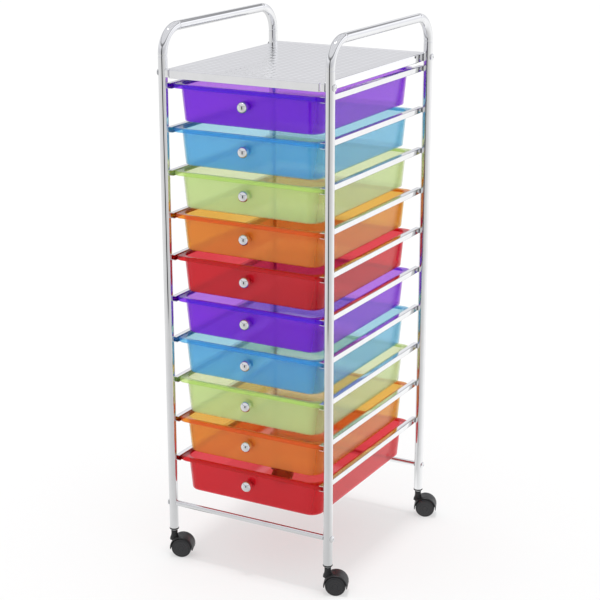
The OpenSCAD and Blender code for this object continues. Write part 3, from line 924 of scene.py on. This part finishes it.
@dataclass
class Fasteners:
    """Button headed bolts, their closed nuts and the cross rods.

    Attributes:
        head_r: Radius of a bolt's head.
        head_h: Height of the head over the tube's outermost line.
        seat: How far the head's rim goes down on the round tube, and up again.
        shank_r: Radius of the bolts.
        socket_r: Corner radius of the hexagon socket.
        socket_depth: Depth of the socket.
        shelf_reach: Length of the shelf's bolts from the tube's outside.
        rod_reach: Length of the rods' bolts.
        rod_r: Radius of the cross rods.
        rod_bed: How far a rod's end goes into the leg's wall.
        nut_r: Corner radius of a nut.
        nut_length: Length of a nut with its cap.
        nut_face: Where the nuts bear, from the middle of the cart.
    """

    head_r: float = 6.0
    head_h: float = 2.6
    seat: float = 0.6
    shank_r: float = 2.5
    socket_r: float = 1.75
    socket_depth: float = 1.6
    shelf_reach: float = 18.0
    rod_reach: float = 28.0
    rod_r: float = 5.0
    rod_bed: float = 0.6
    nut_r: float = 4.97
    nut_length: float = 8.4
    nut_face: float = 148.5

    def bolt(self, reach: float) -> Surface:
        """A button head with a hexagon socket, and its shank, along z.

        Zero height is the outside of the tube. The socket's rings are hexagons.

        Args:
            reach: How far the shank goes down from the tube's outside.

        Returns:
            The closed bolt.
        """
        top, rim = self.head_h, self.socket_r
        dome = arc((0.0, -2.6), 5.2, 35, 70, 10)
        dome[:, 0] *= (self.head_r - 0.2) / dome[0, 0]
        rise = (dome[:, 1] - dome[0, 1]) / (dome[-1, 1] - dome[0, 1])
        dome[:, 1] = 0.9 + rise * (top - 0.9)
        profile = np.vstack([
            [[self.shank_r, -reach], [self.shank_r, -self.seat], [self.head_r, -self.seat],
             [self.head_r, self.seat]], dome,
            [[rim + 0.25, top], [rim, top - 0.2], [rim, top - self.socket_depth]]])
        marked = np.arange(len(profile) + 2)[:, None] > len(profile) - 2
        return turned(profile, 48, lambda r, a: np.where(marked, r * hexagon(a), r))

    def nut(self) -> Surface:
        """A hexagon nut and its round cap, along z from its seat.

        The middle rings are cut to flats. The end ones stay round, at most 1.08
        times the flats' radius, which chamfers the corners.

        Returns:
            The closed nut.
        """
        length, r = self.nut_length, self.nut_r
        cap = arc((0.0, length * 0.6), r * 0.78, 0, 88, 9)
        cap[:, 1] = length * 0.62 + (cap[:, 1] - length * 0.6) * (length * 0.38 / (r * 0.78))
        profile = np.vstack([
            [[r * 0.9, 0.0], [r, 0.5], [r, length * 0.52], [r * 0.88, length * 0.6]], cap])
        row = np.arange(len(profile) + 2)[:, None]
        marked = (row == 2) | (row == 3)

        def shape(radius: Array, angle: Array) -> Array:
            """Cuts the marked rings to flats and chamfers the others."""
            flat = radius * hexagon(angle, math.pi / 6.0)
            return np.where(marked, flat, np.minimum(radius, flat * 1.08))

        return turned(profile, 48, shape)

    def sideways(self, piece: Surface, distance: float, z: float, inward: bool) -> list[Surface]:
        """Four copies of a piece along z, laid along x at each leg.

        Args:
            piece: The piece, pointing along its own z.
            distance: Where its zero height lies, from the middle of the cart.
            z: Height of its axis.
            inward: Whether its z points to the middle of the cart.

        Returns:
            The four copies.
        """
        way = -1.0 if inward else 1.0
        copies = []
        for sx, sy in LEGS.values():
            turn = np.array([[0.0, 0.0, sx * way], [0.0, 1.0, 0.0], [1.0, 0.0, 0.0]])
            copies.append(piece.moved(turn, (sx * distance, sy * LEG_Y, z)))
        return copies

    def rod(self, sy: int) -> Surface:
        """A cross rod whose ends go just into the legs' walls.

        Args:
            sy: -1 for the front legs, 1 for the rear ones.

        Returns:
            The rod in its place.
        """
        half = LEG_X - TUBE_R + self.rod_bed
        profile = np.array([[self.rod_r, half * s] for s in (-1.0, -1.0 / 3.0, 1.0 / 3.0, 1.0)])
        turn = np.array([[0.0, 0.0, 1.0], [0.0, 1.0, 0.0], [-1.0, 0.0, 0.0]])
        return turned(profile, 64).moved(turn, (0.0, sy * LEG_Y, ROD_Z))

    def build(self) -> None:
        """Makes the bolts, the nuts and both rods."""
        outside = LEG_X + TUBE_R
        for name, node, piece, place, z, inward, finish in (
                ("shelf_button_bolts", "shelf_bolts", self.bolt(self.shelf_reach), outside,
                 SHELF_BOLT_Z, False, CHROME_BOLT),
                ("rod_button_bolts", "rod_bolts", self.bolt(self.rod_reach), outside,
                 ROD_Z, False, CHROME_BOLT),
                ("closed_shelf_nuts", "shelf_nuts", self.nut(), self.nut_face,
                 SHELF_BOLT_Z, True, ZINC)):
            make_piece(name, self.sideways(piece, place, z, inward), finish, "frame", [node])
        for word, sy in (("front", -1), ("rear", 1)):
            make_piece(f"{word}_round_rod", [self.rod(sy)], CHROME_TUBE, "frame",
                       [f"{word}_cross_rod"])


@dataclass
class Drawer:
    """One tinted tray with its ball knob.

    Attributes:
        number: 1 for the top drawer.
        tint: Its tint.
        half_w: Half the width of the tray at its top.
        front: Front of the tray at its top.
        rear: Rear of the tray at its top.
        corner: Plan radius of the tray's corners.
        lean: How much the walls lean in down to the floor.
        height: Height of the tray.
        wall: Wall of the tray.
        floor_r: Outside radius between the walls and the floor.
        sag: How far the floor's middle stands up.
        rim_half_w: Half the width over the rim.
        rim_front: Front of the rim.
        rim_rear: Rear of the rim.
        rim_corner: Plan radius of the rim's corners.
        rim_edge: Radius of the rim's upper edge.
        rim_t: Thickness of the rim.
        lip_h: Height of the lip, with the rim.
        lip_t: Thickness of the lip.
        lift: Top of the tray over the rail's middle.
        knob_drop: Knob's middle under the tray's top.
        knob_r: Radius of the knob's ball.
        boss_r: Radius of the boss that the screw's head bears on.
        boss_t: How far the boss stands in from the tray's front.
        sharp: Angle from which an edge stays sharp, in degrees.
    """

    number: int
    tint: Tint
    half_w: float = 136.9
    front: float = -182.0
    rear: float = 166.0
    corner: float = 28.0
    lean: float = 6.0
    height: float = 64.0
    wall: float = 2.0
    floor_r: float = 3.0
    sag: float = 0.5
    rim_half_w: float = 147.9
    rim_front: float = -187.0
    rim_rear: float = 171.0
    rim_corner: float = 22.0
    rim_edge: float = 1.3
    rim_t: float = 2.0
    lip_h: float = 7.3
    lip_t: float = 1.8
    lift: float = 3.65
    knob_drop: float = 27.0
    knob_r: float = 10.0
    boss_r: float = 7.5
    boss_t: float = 5.4
    sharp: float = 60.0

    @property
    def top(self) -> float:
        """Height of the tray's top."""
        return FIRST_RAIL + self.lift - DRAWER_PITCH * (self.number - 1)

    def outline(self, rows: Array) -> Array:
        """Rounded rectangles, one a row, all with the same count of points.

        A corner point is the corner's centre + r (cos a, sin a). Points on the
        straight sides lie evenly between two corners.

        Args:
            rows: Half width, front, rear, corner radius and height, one row each.

        Returns:
            Rows, points and x, y, z.
        """
        arc_steps, side_steps = 12, 14
        quarter = np.append(np.linspace(0.0, 90.0, arc_steps + 1), np.full(side_steps - 1, 90.0))
        part = np.append(np.zeros(arc_steps + 1), np.arange(1, side_steps) / side_steps)
        corners = np.repeat(np.arange(4), len(quarter))
        angle = np.radians(np.tile(quarter, 4) - 90.0 + 90.0 * corners)
        part = np.tile(part, 4)
        right, behind = np.array([1.0, 1.0, -1.0, -1.0]), np.array([False, True, True, False])
        w, y0, y1, r, z = (rows[:, i:i + 1] for i in range(5))

        def at(corner: Array) -> tuple[Array, Array]:
            """Points on that corner's arc at the listed angles."""
            x = right[corner] * (w - r) + r * np.cos(angle)
            return x, np.where(behind[corner], y1 - r, y0 + r) + r * np.sin(angle)

        (xa, ya), (xb, yb) = at(corners), at((corners + 1) % 4)
        x, y = xa + (xb - xa) * part, ya + (yb - ya) * part
        return np.stack([x, y, z * np.ones_like(x)], axis=-1)

    def body_row(self, inset: float, z: float) -> list[float]:
        """A ring of the tray's wall, that far inside its top outline."""
        return [self.half_w - inset, self.front + inset, self.rear - inset, self.corner - inset, z]

    def rim_row(self, inset: float, z: float) -> list[float]:
        """A ring of the rim, that far inside its outline."""
        return [self.rim_half_w - inset, self.rim_front + inset, self.rim_rear - inset,
                self.rim_corner - inset, z]

    def floor_rows(self, inset: float, z: float) -> Rows:
        """Rings that shrink to the middle of the floor, where it stands up by sag.

        At the share s of the way from the middle out, the rise is sag (1 - s^2).

        Args:
            inset: How far the floor's edge lies inside the tray's top outline.
            z: Height of the floor's edge.

        Returns:
            The rings, from the edge to the middle.
        """
        w, y0, y1, r, _ = self.body_row(inset, z)
        mid, half = (y0 + y1) / 2.0, (y1 - y0) / 2.0
        return [[w * s, mid - half * s, mid + half * s, r * s, z + self.sag * (1.0 - s * s)]
                for s in (0.96, 0.85, 0.7, 0.52, 0.34, 0.16, 0.0)]

    def tray(self) -> Surface:
        """The closed shell: outside floor, wall, rim, lip, rim top, inside wall and inside floor.

        Floor corners are arcs between the floor and the leaning wall; the wall's
        inset at height z is lean (1 - z / height).

        Returns:
            The shell in its place.
        """
        slant = math.hypot(self.height, self.lean)
        tip = math.degrees(math.asin(self.lean / slant))

        def lean(z: float) -> float:
            """Inset of the leaning wall at that height."""
            return self.lean * (1.0 - z / self.height)

        def bottom(radius: float, base: float, count: int) -> tuple[Rows, Rows]:
            """The floor at base, and its corner's arc up to the leaning wall.

            The arc touches both: its angle runs from -90 degrees to minus the lean's.

            Args:
                radius: Radius of the arc.
                base: Height of the floor.
                count: Rings on the arc.

            Returns:
                The floor's rings from its edge in, and the arc's from below.
            """
            inset = base + self.lean - radius * (self.lean - slant) / self.height
            bend = np.radians(np.linspace(-90.0, -tip, count))
            rise = [self.body_row(inset - radius * math.cos(b),
                                  base + radius + radius * math.sin(b)) for b in bend]
            return self.floor_rows(inset, base), rise

        floor, rise = bottom(self.floor_r, 0.0, 9)
        rows = floor[::-1] + rise
        rows += [self.body_row(lean(z), z) for z in (8.0, 16.0, 24.0, 32.0, 40.0, 48.0, 55.0, 59.0)]
        under, lip, t = self.height - self.rim_t, self.height - self.lip_h, self.lip_t
        rows += [self.body_row(lean(under) - i, under - d)
                 for i, d in ((0.05, 1.3), (0.45, 0.4), (1.3, 0.0))]
        rows += [self.rim_row(i, z) for i, z in (
            (t + 0.9, under), (t + 0.25, under - 0.25), (t, under - 0.9), (t, lip + 0.6),
            (t - 0.3, lip + 0.12), (t / 2.0, lip), (0.3, lip + 0.12), (0.0, lip + 0.6),
            (0.0, self.height - 3.0))]
        e = self.rim_edge
        rows += [self.rim_row(e - e * math.cos(a), self.height - e + e * math.sin(a))
                 for a in np.radians((0, 20, 40, 60, 80, 90))]
        inner = self.wall + lean(self.height - 1.0)
        rows += [self.body_row(inner - i, self.height - d)
                 for i, d in ((1.6, 0.0), (0.9, 0.12), (0.35, 0.5), (0.05, 1.2))]
        rows += [self.body_row(self.wall + lean(z - self.wall), z)
                 for z in (60.0, 53.0, 45.0, 37.0, 29.0, 21.0, 13.0, 7.0)]
        floor, rise = bottom(self.floor_r - self.wall, self.wall, 8)
        points = self.outline(np.array(rows + rise[::-1] + floor))
        points[..., 2] += self.top - self.height
        return rings(points)

    def mark_rim(self, piece: bpy.types.Object) -> None:
        """Writes the point attribute rim: 0 on the wall, and 1 from 2 mm outside its top.

        The distance to the rounded outline is |max(q, 0)| + min(max(qx, qy), 0) - corner,
        with q the point's offset from the rectangle of the corners' centres.

        Args:
            piece: The finished tray.
        """
        mesh = piece.data
        co = np.empty(len(mesh.vertices) * 3)
        mesh.vertices.foreach_get("co", co)
        place = co.reshape(-1, 3) / MM + AXLE_MIDDLE
        half = np.array([self.half_w, (self.rear - self.front) / 2.0]) - self.corner
        q = np.abs(place[:, :2] - [0.0, (self.rear + self.front) / 2.0]) - half
        out = np.linalg.norm(np.maximum(q, 0.0), axis=1) + np.minimum(q.max(axis=1), 0.0)
        out -= self.corner
        # The rim attribute sets the tray finish's lower clear share and its painted shade on the
        # rim.
        rim = mesh.attributes.new("rim", "FLOAT", "POINT")
        rim.data.foreach_set("value", np.clip(out / 2.0, 0.0, 1.0))

    def boss(self) -> Surface:
        """The flat boss inside the front wall that the screw's head bears on.

        Returns:
            The boss: a low turned disc along y, with its edges cut.
        """
        r, t = self.boss_r, self.boss_t
        profile = np.array([[r - 0.5, 2.2], [r, 2.6], [r, t - 0.4], [r - 0.4, t]])
        place = (0.0, self.front, self.top - self.knob_drop)
        return turned(profile, 40).moved(along_y(1.0, -1.0), place)

    def knob(self) -> Surface:
        """The ball knob: a profile turned about -y.

        The profile is a small foot, a neck and a flat back, and then the ball's arc
        from 35 degrees behind its widest place to the front.

        Returns:
            The closed knob in its place.
        """
        ball = arc((0.0, 9.0), self.knob_r, -35.0, 89.0, 36)
        profile = np.vstack([[[4.2, 0.0], [4.5, 0.3], [4.5, 1.2], [4.2, 1.55], [3.5, 2.0],
                              [3.3, 2.5], [4.0, 2.8], [7.2, 2.85], [7.9, 3.0]], ball])
        place = (0.0, self.front, self.top - self.knob_drop)
        return turned(profile, 64).moved(along_y(-1.0), place)

    def build(self) -> None:
        """Makes the tray and the knob; the screw inside keeps its CAD shape in dull zinc."""
        number = self.number
        body = f"drawer_{number}_body"
        tray = make_piece(f"tray_{number}", [self.tray(), self.boss()], TINTS[self.tint], body,
                          [f"drawer_{number}"], math.radians(self.sharp))
        self.mark_rim(tray)
        make_piece(f"ball_knob_{number}", [self.knob()], CHROME_KNOB, body, [f"knob_{number}"])


@dataclass
class Caster:
    """One twin wheel caster: plug, stem, hood and two wheels.

    Attributes:
        leg: Name of its leg.
        wheel_r: Radius of the wheels.
        wheel_w: Width of a wheel.
        wheel_in: Where a wheel starts, from the middle of the web.
        hood_r: Outside radius of the hood over the wheels.
        pocket_r: Inside radius of it.
        hood_half: Half the width of the hood.
        web: Thickness of the web between the wheels.
        web_r: Radius of the web.
        web_low: How far the web goes under the axle.
        boss_r: Radius of the web's boss round the axle.
        neck_r: Radius of the neck.
        neck_top: Height of the neck's top.
        bore_r: Radius of the bore for the stem's pin.
    """

    leg: str
    wheel_r: float = 18.0
    wheel_w: float = 12.0
    wheel_in: float = 2.8
    hood_r: float = 21.0
    pocket_r: float = 19.2
    hood_half: float = 15.1
    web: float = 5.0
    web_r: float = 19.3
    web_low: float = 2.0
    boss_r: float = 7.5
    neck_r: float = 5.75
    neck_top: float = 47.7
    bore_r: float = 3.1

    def placed(self, piece: Surface) -> Surface:
        """Turns a piece by the caster's angle and sets it under its leg.

        Args:
            piece: The piece, in the caster's own directions.

        Returns:
            The piece in its place.
        """
        c, s = math.cos(CASTER_TURN), math.sin(CASTER_TURN)
        sx, sy = LEGS[self.leg]
        turn = np.array([[c, -s, 0.0], [s, c, 0.0], [0.0, 0.0, 1.0]])
        return piece.moved(turn, (sx * LEG_X, sy * LEG_Y, 0.0))

    def on_axle(self, piece: Surface, flip: float = 1.0) -> Surface:
        """A piece turned about z, laid along the axle, with its z to the local y side flip."""
        return piece.moved(along_y(flip), (CASTER_TRAIL, 0.0, self.wheel_r))

    def arch(self) -> Surface:
        """The hood over the wheels: a strip between two arcs, carried along the axle.

        The inner arc is shorter, so the ends are slanted. At both sides the outer
        line goes in by the shares of round_off, which rounds them.

        Returns:
            The closed hood.
        """
        outer = arc((0.0, 0.0), self.hood_r, -11.4, 191.4, 60)
        inner = arc((0.0, 0.0), self.pocket_r, -6.0, 186.0, 60)
        steps = np.array([0.0, 0.25, 0.8, 1.8, 3.2]) - self.hood_half
        round_off = np.array([0.75, 0.45, 0.22, 0.07, 0.0, 0.0])
        rows = np.concatenate([steps, [-4.0, 4.0], -steps[::-1]])
        inset = np.concatenate([round_off, round_off[::-1]])
        return self.on_axle(extruded(outer, inner, rows, inset, inset * 0.1))

    def plate(self) -> Surface:
        """The web between the wheels: a disc cut off web_low under the axle.

        Its radius at angle a is web_r, or web_low / -sin a where the cut is nearer,
        but nowhere less than the axle's boss.

        Returns:
            The closed web.
        """
        a = np.linspace(0.0, 2.0 * math.pi, 96, endpoint=False)
        cut = self.web_low / np.maximum(-np.sin(a), 1e-6)
        low = np.maximum(self.boss_r, np.minimum(self.web_r, cut))
        radius = np.where(np.sin(a) > -self.web_low / self.pocket_r, self.web_r, low)
        half = self.web / 2.0
        share = np.array([[0.0, 0.985, 1.0, 1.0, 0.985, 0.0]]).T
        z = np.array([[-half, -half, 0.3 - half, half - 0.3, half, half]]).T + 0.0 * a
        return self.on_axle(rings(np.stack(
            [radius * share * np.cos(a), radius * share * np.sin(a), z], axis=-1)))

    def neck(self) -> Surface:
        """The neck that turns on the stem's pin: a turned profile, wider at the hood.

        Returns:
            The closed neck.
        """
        top = self.neck_top
        z = np.array([30.0, 33.0, 35.0, 37.0, 39.0, 41.0, top - 0.6, top])
        r = np.array([8.4, 8.0, 7.3, 6.5, 6.0, self.neck_r, self.neck_r, self.neck_r - 0.5])
        profile = np.vstack([np.stack([r, z], axis=1),
                             [[self.bore_r, top], [self.bore_r, top - 1.5]]])
        return turned(profile, 48)

    def wheel(self, flip: float) -> Surface:
        """One wheel: a turned profile with a crowned tread and rings on its outer face.

        Args:
            flip: Side of the web on the axle, -1 or 1.

        Returns:
            The wheel on the axle.
        """
        w, r = self.wheel_w, self.wheel_r
        inside = [[5.7, 0.0], [5.75, 6.6], [14.2, 6.6], [14.4, 0.5], [16.6, 0.4]]
        tread = [[17.2, 0.55], [17.75, 1.1], [r, 2.0], [r, 4.0], [r, 7.5], [r, w - 2.6],
                 [17.8, w - 1.6], [17.3, w - 0.9], [16.7, w - 0.55]]
        face = [[15.6, w - 0.4], [15.35, w - 0.55], [15.2, w - 0.95], [14.55, w - 0.95],
                [14.35, w - 0.7], [14.1, w - 0.25], [13.6, w - 0.15], [10.4, w - 0.1],
                [10.1, w - 0.45], [9.5, w - 0.45], [9.2, w - 0.1], [5.6, w - 0.02],
                [5.2, w - 0.5], [4.6, w - 0.5], [4.2, w - 0.05], [2.0, w]]
        profile = np.array(inside + tread + face)
        wheel = turned(profile, 96)
        wheel.points = wheel.points + np.array([0.0, 0.0, self.wheel_in])
        return self.on_axle(wheel, flip)

    def plug(self) -> Surface:
        """The black plug in the leg's open end, with its rounded rim."""
        return turned(np.array([[4.2, 50.6], [7.9, 50.6], [8.4, 50.85], [8.5, 51.3], [8.5, 52.5],
                                [8.2, 52.95], [6.6, 53.0], [6.6, 80.0]]), 64)

    def stem(self) -> Surface:
        """The steel collar under the plug, with the stem in it and the pin below."""
        return turned(np.array([[3.0, 38.0], [3.0, 47.9], [4.9, 48.0], [5.25, 48.3], [5.25, 50.2],
                                [4.95, 50.6], [4.0, 50.6], [4.0, 78.0]]), 48)

    def build(self) -> tuple[Surface, Surface]:
        """Makes the hood and the wheels.

        Returns:
            The plug and the stem, which belong to pieces of the frame.
        """
        body = f"{self.leg}_caster"
        hood = [self.placed(self.arch()), self.placed(self.plate()), self.placed(self.neck())]
        make_piece(f"{self.leg}_wheel_hood", hood, BLACK, body, [f"{self.leg}_hood"])
        for word, flip in (("front", -1.0), ("back", 1.0)):
            node = f"{self.leg}_wheel_{word}"
            make_piece(f"{node}_disc", [self.placed(self.wheel(flip))], WHEEL, f"{node}_body",
                       [node])
        sx, sy = LEGS[self.leg]
        under = (sx * LEG_X, sy * LEG_Y, 0.0)
        return self.plug().moved(np.eye(3), under), self.stem().moved(np.eye(3), under)


@dataclass
class Studio:
    """Floor, light and camera.

    Attributes:
        azimuth: Camera's angle from straight ahead, to the cart's right, in degrees.
        pitch: Downward tilt in degrees.
        roll: Turn about the line of sight in degrees.
        distance: Distance from the camera to the cart's middle, in metres.
        focal: Focal length in pixels of the 600 pixel picture.
        middle: Height of the cart's middle, in metres.
        aim: Sideways and upward offset of the line of sight, in metres.
        picture: Width of the photograph in pixels.
        sensor: Width of the camera's sensor in millimetres.
        ambient: Strength of the world that lights the cart.
        plain: Grey of the floor in the cart's light.
        pale: Grey of the floor to the eye, on top of lift.
        lift: White that the floor adds to the eye, which its shadow darkens.
        tones: Bearing in degrees and brightness of the screens that a mirror sees.
        gap: Bearings where the dark gap starts, is whole, and ends.
        gap_from: Where the gap starts on the floor, in metres from the cart.
        walls: How much brighter the screens are than their floor reflection.
        horizon: Brightness of the screens' lower edge.
        cool: Colour of the light in a mirror.
        roof: Brightness overhead in a mirror.
        slot: Heights between which the screens and the roof leave a darker band.
        slot_dark: How much darker it is.
        panels: Rows of roof panels, in radians to a height of one.
        panel_gaps: How much darker the gaps between them are.
        lamp_power: Strength of the lamp.
        lamp_angle: Width of the lamp in degrees.
    """

    azimuth: float = 28.77
    pitch: float = 17.05
    roll: float = -0.02
    distance: float = 2.897
    focal: float = 1624.0
    middle: float = 0.48
    aim: tuple[float, float] = (-0.0134, -0.0223)
    picture: float = 600.0
    sensor: float = 36.0
    ambient: float = 0.95
    lift: float = 0.515
    plain: float = 0.8
    pale: float = 0.385
    tones: tuple[tuple[float, float], ...] = (
        (-180, 0.86), (-150, 0.76), (-110, 0.84), (-67, 0.85), (-35, 0.76), (-10, 0.7),
        (40, 0.62), (66, 0.74), (93, 0.86), (124, 1.05), (151, 1.1), (180, 0.86))
    gap: tuple[float, ...] = (-3.0, 3.0, 17.0, 23.0)
    gap_from: tuple[float, float] = (1.45, 1.75)
    walls: float = 1.25
    horizon: float = 0.75
    cool: Color = (0.965, 0.967, 1.0)
    roof: float = 0.92
    slot: tuple[float, ...] = (0.38, 0.44, 0.52, 0.60)
    slot_dark: float = 0.65
    panels: float = 10.5
    panel_gaps: float = 0.24
    lamp_power: float = 1.2
    lamp_angle: float = 4.0

    def camera(self) -> None:
        """Places the camera at the photograph's angle."""
        a, p, r = (math.radians(v) for v in (self.azimuth, self.pitch, self.roll))
        ahead = np.array([-math.sin(a) * math.cos(p), math.cos(a) * math.cos(p), -math.sin(p)])
        right = np.array([math.cos(a), math.sin(a), 0.0])
        up = np.cross(right, ahead)
        right, up = (right * math.cos(r) + up * math.sin(r),
                     up * math.cos(r) - right * math.sin(r))
        spot = np.array([0.0, 0.0, self.middle]) - ahead * self.distance
        spot += right * self.aim[0] + up * self.aim[1]
        data = bpy.data.cameras.new("camera")
        data.sensor_width = self.sensor
        data.lens = self.focal * self.sensor / self.picture
        data.clip_end = 200.0
        camera = bpy.data.objects.new("camera", data)
        bpy.context.scene.collection.objects.link(camera)
        columns = np.stack([right, up, -ahead, spot], axis=1)
        camera.matrix_world = Matrix([*columns.tolist(), [0.0, 0.0, 0.0, 1.0]])
        bpy.context.scene.camera = camera

    def screens(self, tree: Tree, x: Socket, y: Socket, dark: Socket) -> Socket:
        """How bright the studio is in a mirror, by bearing: white screens and a dark gap.

        The bearing is arctan2(x, -y), which is 0 straight ahead of the cart and
        grows to the right. A colour ramp over the full turn gives the tone, and
        the gap takes it down to nothing between two soft edges.

        Args:
            tree: Tree to add to.
            x: Sideways part of the place or direction.
            y: Depth part of it.
            dark: How far the gap counts, from 0 to 1.

        Returns:
            The tone.
        """
        bearing = tree.math("ARCTAN2", x, tree.math("MULTIPLY", y, -1.0))
        turn = tree.math("MULTIPLY_ADD", bearing, 0.5 / math.pi, 0.5)
        node = tree.add("ShaderNodeValToRGB", {0: turn})
        ramp = node.color_ramp
        while len(ramp.elements) > 1:
            ramp.elements.remove(ramp.elements[-1])
        for degrees, tone in self.tones:
            stop = ramp.elements.new(degrees / 360.0 + 0.5)
            stop.color = (tone, tone, tone * 1.01, 1.0)
        ramp.elements.remove(ramp.elements[0])
        a, b, c, d = (v / 360.0 + 0.5 for v in self.gap)
        into = tree.span(turn, a, b, 0.0, 1.0, True)
        out = tree.span(turn, c, d, 1.0, 0.0, True)
        hole = tree.math("MULTIPLY", tree.math("MULTIPLY", into, out), dark)
        return tree.math("MULTIPLY", node.outputs[0], tree.math("SUBTRACT", 1.0, hole))

    def seen(self, tree: Tree, ray: bpy.types.Node) -> Socket:
        """1 for the eye's own rays and for those that went through plastic, and else 0."""
        return tree.math("MAXIMUM", ray.outputs["Is Camera Ray"],
                         ray.outputs["Is Transmission Ray"])

    def floor(self) -> None:
        """A pale floor that keeps the cart's shadow."""
        reach = 30.0
        mesh = bpy.data.meshes.new("floor")
        mesh.from_pydata([(-reach, -reach, 0), (reach, -reach, 0), (0, 2 * reach, 0)], [],
                         [(0, 1, 2)])
        floor = bpy.data.objects.new("floor", mesh)
        bpy.context.scene.collection.objects.link(floor)
        pale = bpy.data.materials.new("pale_floor")
        tree = Tree(pale)
        ray = tree.add("ShaderNodeLightPath")
        seen = self.seen(tree, ray)
        grey = tree.blend_colors(seen, (self.plain,) * 3, (self.pale,) * 3)
        base = tree.add("ShaderNodeBsdfDiffuse", {"Color": grey})
        glow = tree.add("ShaderNodeEmission", {"Color": (1.0, 1.0, 1.0, 1.0),
                                               "Strength": tree.math("MULTIPLY", seen, self.lift)})
        plain = tree.add("ShaderNodeAddShader", {0: base.outputs[0], 1: glow.outputs[0]})
        x, y, _ = tree.add("ShaderNodeSeparateXYZ", {0: tree.place()}).outputs
        away = tree.math("SQRT", tree.math("MULTIPLY_ADD", x, x, tree.math("MULTIPLY", y, y)))
        dark = tree.span(away, *self.gap_from, 0.0, 1.0, True)
        mirrored = tree.add("ShaderNodeEmission", {"Strength": self.screens(tree, x, y, dark)})
        tree.surface(tree.mix(ray.outputs["Is Glossy Ray"], plain, mirrored))
        mesh.materials.append(pale)

    def world(self) -> None:
        """White to the eye and through the plastic; in a mirror the screens, and white overhead.

        The roof's gaps are (1 + cos(panels x / z) cos(panels y / z)) / 2.
        """
        world = bpy.data.worlds.new("studio")
        bpy.context.scene.world = world
        tree = Tree(world)
        way = tree.add("ShaderNodeTexCoord").outputs["Generated"]
        x, y, z = tree.add("ShaderNodeSeparateXYZ", {0: way}).outputs
        above = tree.span(z, 0.46, 0.62, 0.0, 1.0, True)
        ring = self.screens(tree, x, y, tree.span(z, 0.4, 0.55, 1.0, 0.0, True))
        ring = tree.math("MULTIPLY", ring, self.walls)
        roof = tree.math("SUBTRACT", self.roof, ring)
        tone = tree.math("MULTIPLY_ADD", above, roof, ring)
        low, high = (tree.span(z, a, b, 0.0, 1.0, True) for a, b in (self.slot[:2], self.slot[2:]))
        slot = tree.math("MULTIPLY", low, tree.math("SUBTRACT", 1.0, high))
        rise = tree.math("DIVIDE", self.panels, tree.math("MAXIMUM", z, 0.3))
        rows, files = (tree.math("COSINE", tree.math("MULTIPLY", part, rise)) for part in (x, y))
        gaps = tree.math("MULTIPLY_ADD", tree.math("MULTIPLY", rows, files), 0.5, 0.5)
        gaps = tree.math("MULTIPLY", gaps, above)
        for factor in (tree.math("MULTIPLY_ADD", slot, -self.slot_dark, 1.0),
                       tree.span(z, 0.14, 0.4, self.horizon, 1.0, True),
                       tree.math("MULTIPLY_ADD", gaps, -self.panel_gaps, 1.0)):
            tone = tree.math("MULTIPLY", tone, factor)
        ray = tree.add("ShaderNodeLightPath")
        glossy = ray.outputs["Is Glossy Ray"]
        plain = tree.math("MULTIPLY_ADD", self.seen(tree, ray), 1.0 - self.ambient, self.ambient)
        strength = tree.math("MULTIPLY_ADD", glossy, tree.math("SUBTRACT", tone, plain), plain)
        color = tree.blend_colors(glossy, (1.0, 1.0, 1.0), self.cool)
        glow = tree.add("ShaderNodeBackground", {"Color": color, "Strength": strength})
        tree.add("ShaderNodeOutputWorld", {"Surface": glow.outputs[0]})

    def lamp(self) -> None:
        """A soft lamp straight overhead, which keeps the cart's shadow under it."""
        data = bpy.data.lights.new("soft_lamp", "SUN")
        data.energy = self.lamp_power
        data.angle = math.radians(self.lamp_angle)
        lamp = bpy.data.objects.new("soft_lamp", data)
        bpy.context.scene.collection.objects.link(lamp)

    def build(self) -> None:
        """Sets the view, the floor, the world, the lamp and the camera."""
        bpy.context.scene.view_settings.view_transform = "Standard"
        self.camera()
        self.floor()
        self.world()
        self.lamp()


def keep_cad_nodes() -> None:
    """Dresses the CAD nodes that stay: the knobs' screws and the axles, of dull zinc."""
    for name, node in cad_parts.items():
        if name.startswith("knob_screw") or name.endswith("_axle"):
            node.data.materials.clear()
            node.data.materials.append(ZINC.material())


def main() -> None:
    """Builds the studio, then the cart from its frame to its casters."""
    logging.basicConfig(level=logging.INFO, format="%(message)s")
    Studio().build()
    for side in Side:
        SideFrame(side).build()
    TopShelf().build()
    Fasteners().build()
    tints = list(Tint)
    for number in range(1, DRAWERS + 1):
        Drawer(number, tints[(number - 1) % len(tints)]).build()
    plugs, stems = [], []
    for leg in LEGS:
        plug, stem = Caster(leg).build()
        plugs.append(plug)
        stems.append(stem)
    make_piece("leg_end_plugs", plugs, BLACK, "frame", ["leg_sockets"])
    make_piece("collared_stems", stems, ZINC, "frame", ["caster_stems"])
    keep_cad_nodes()


if __name__ == "__main__":
    main()
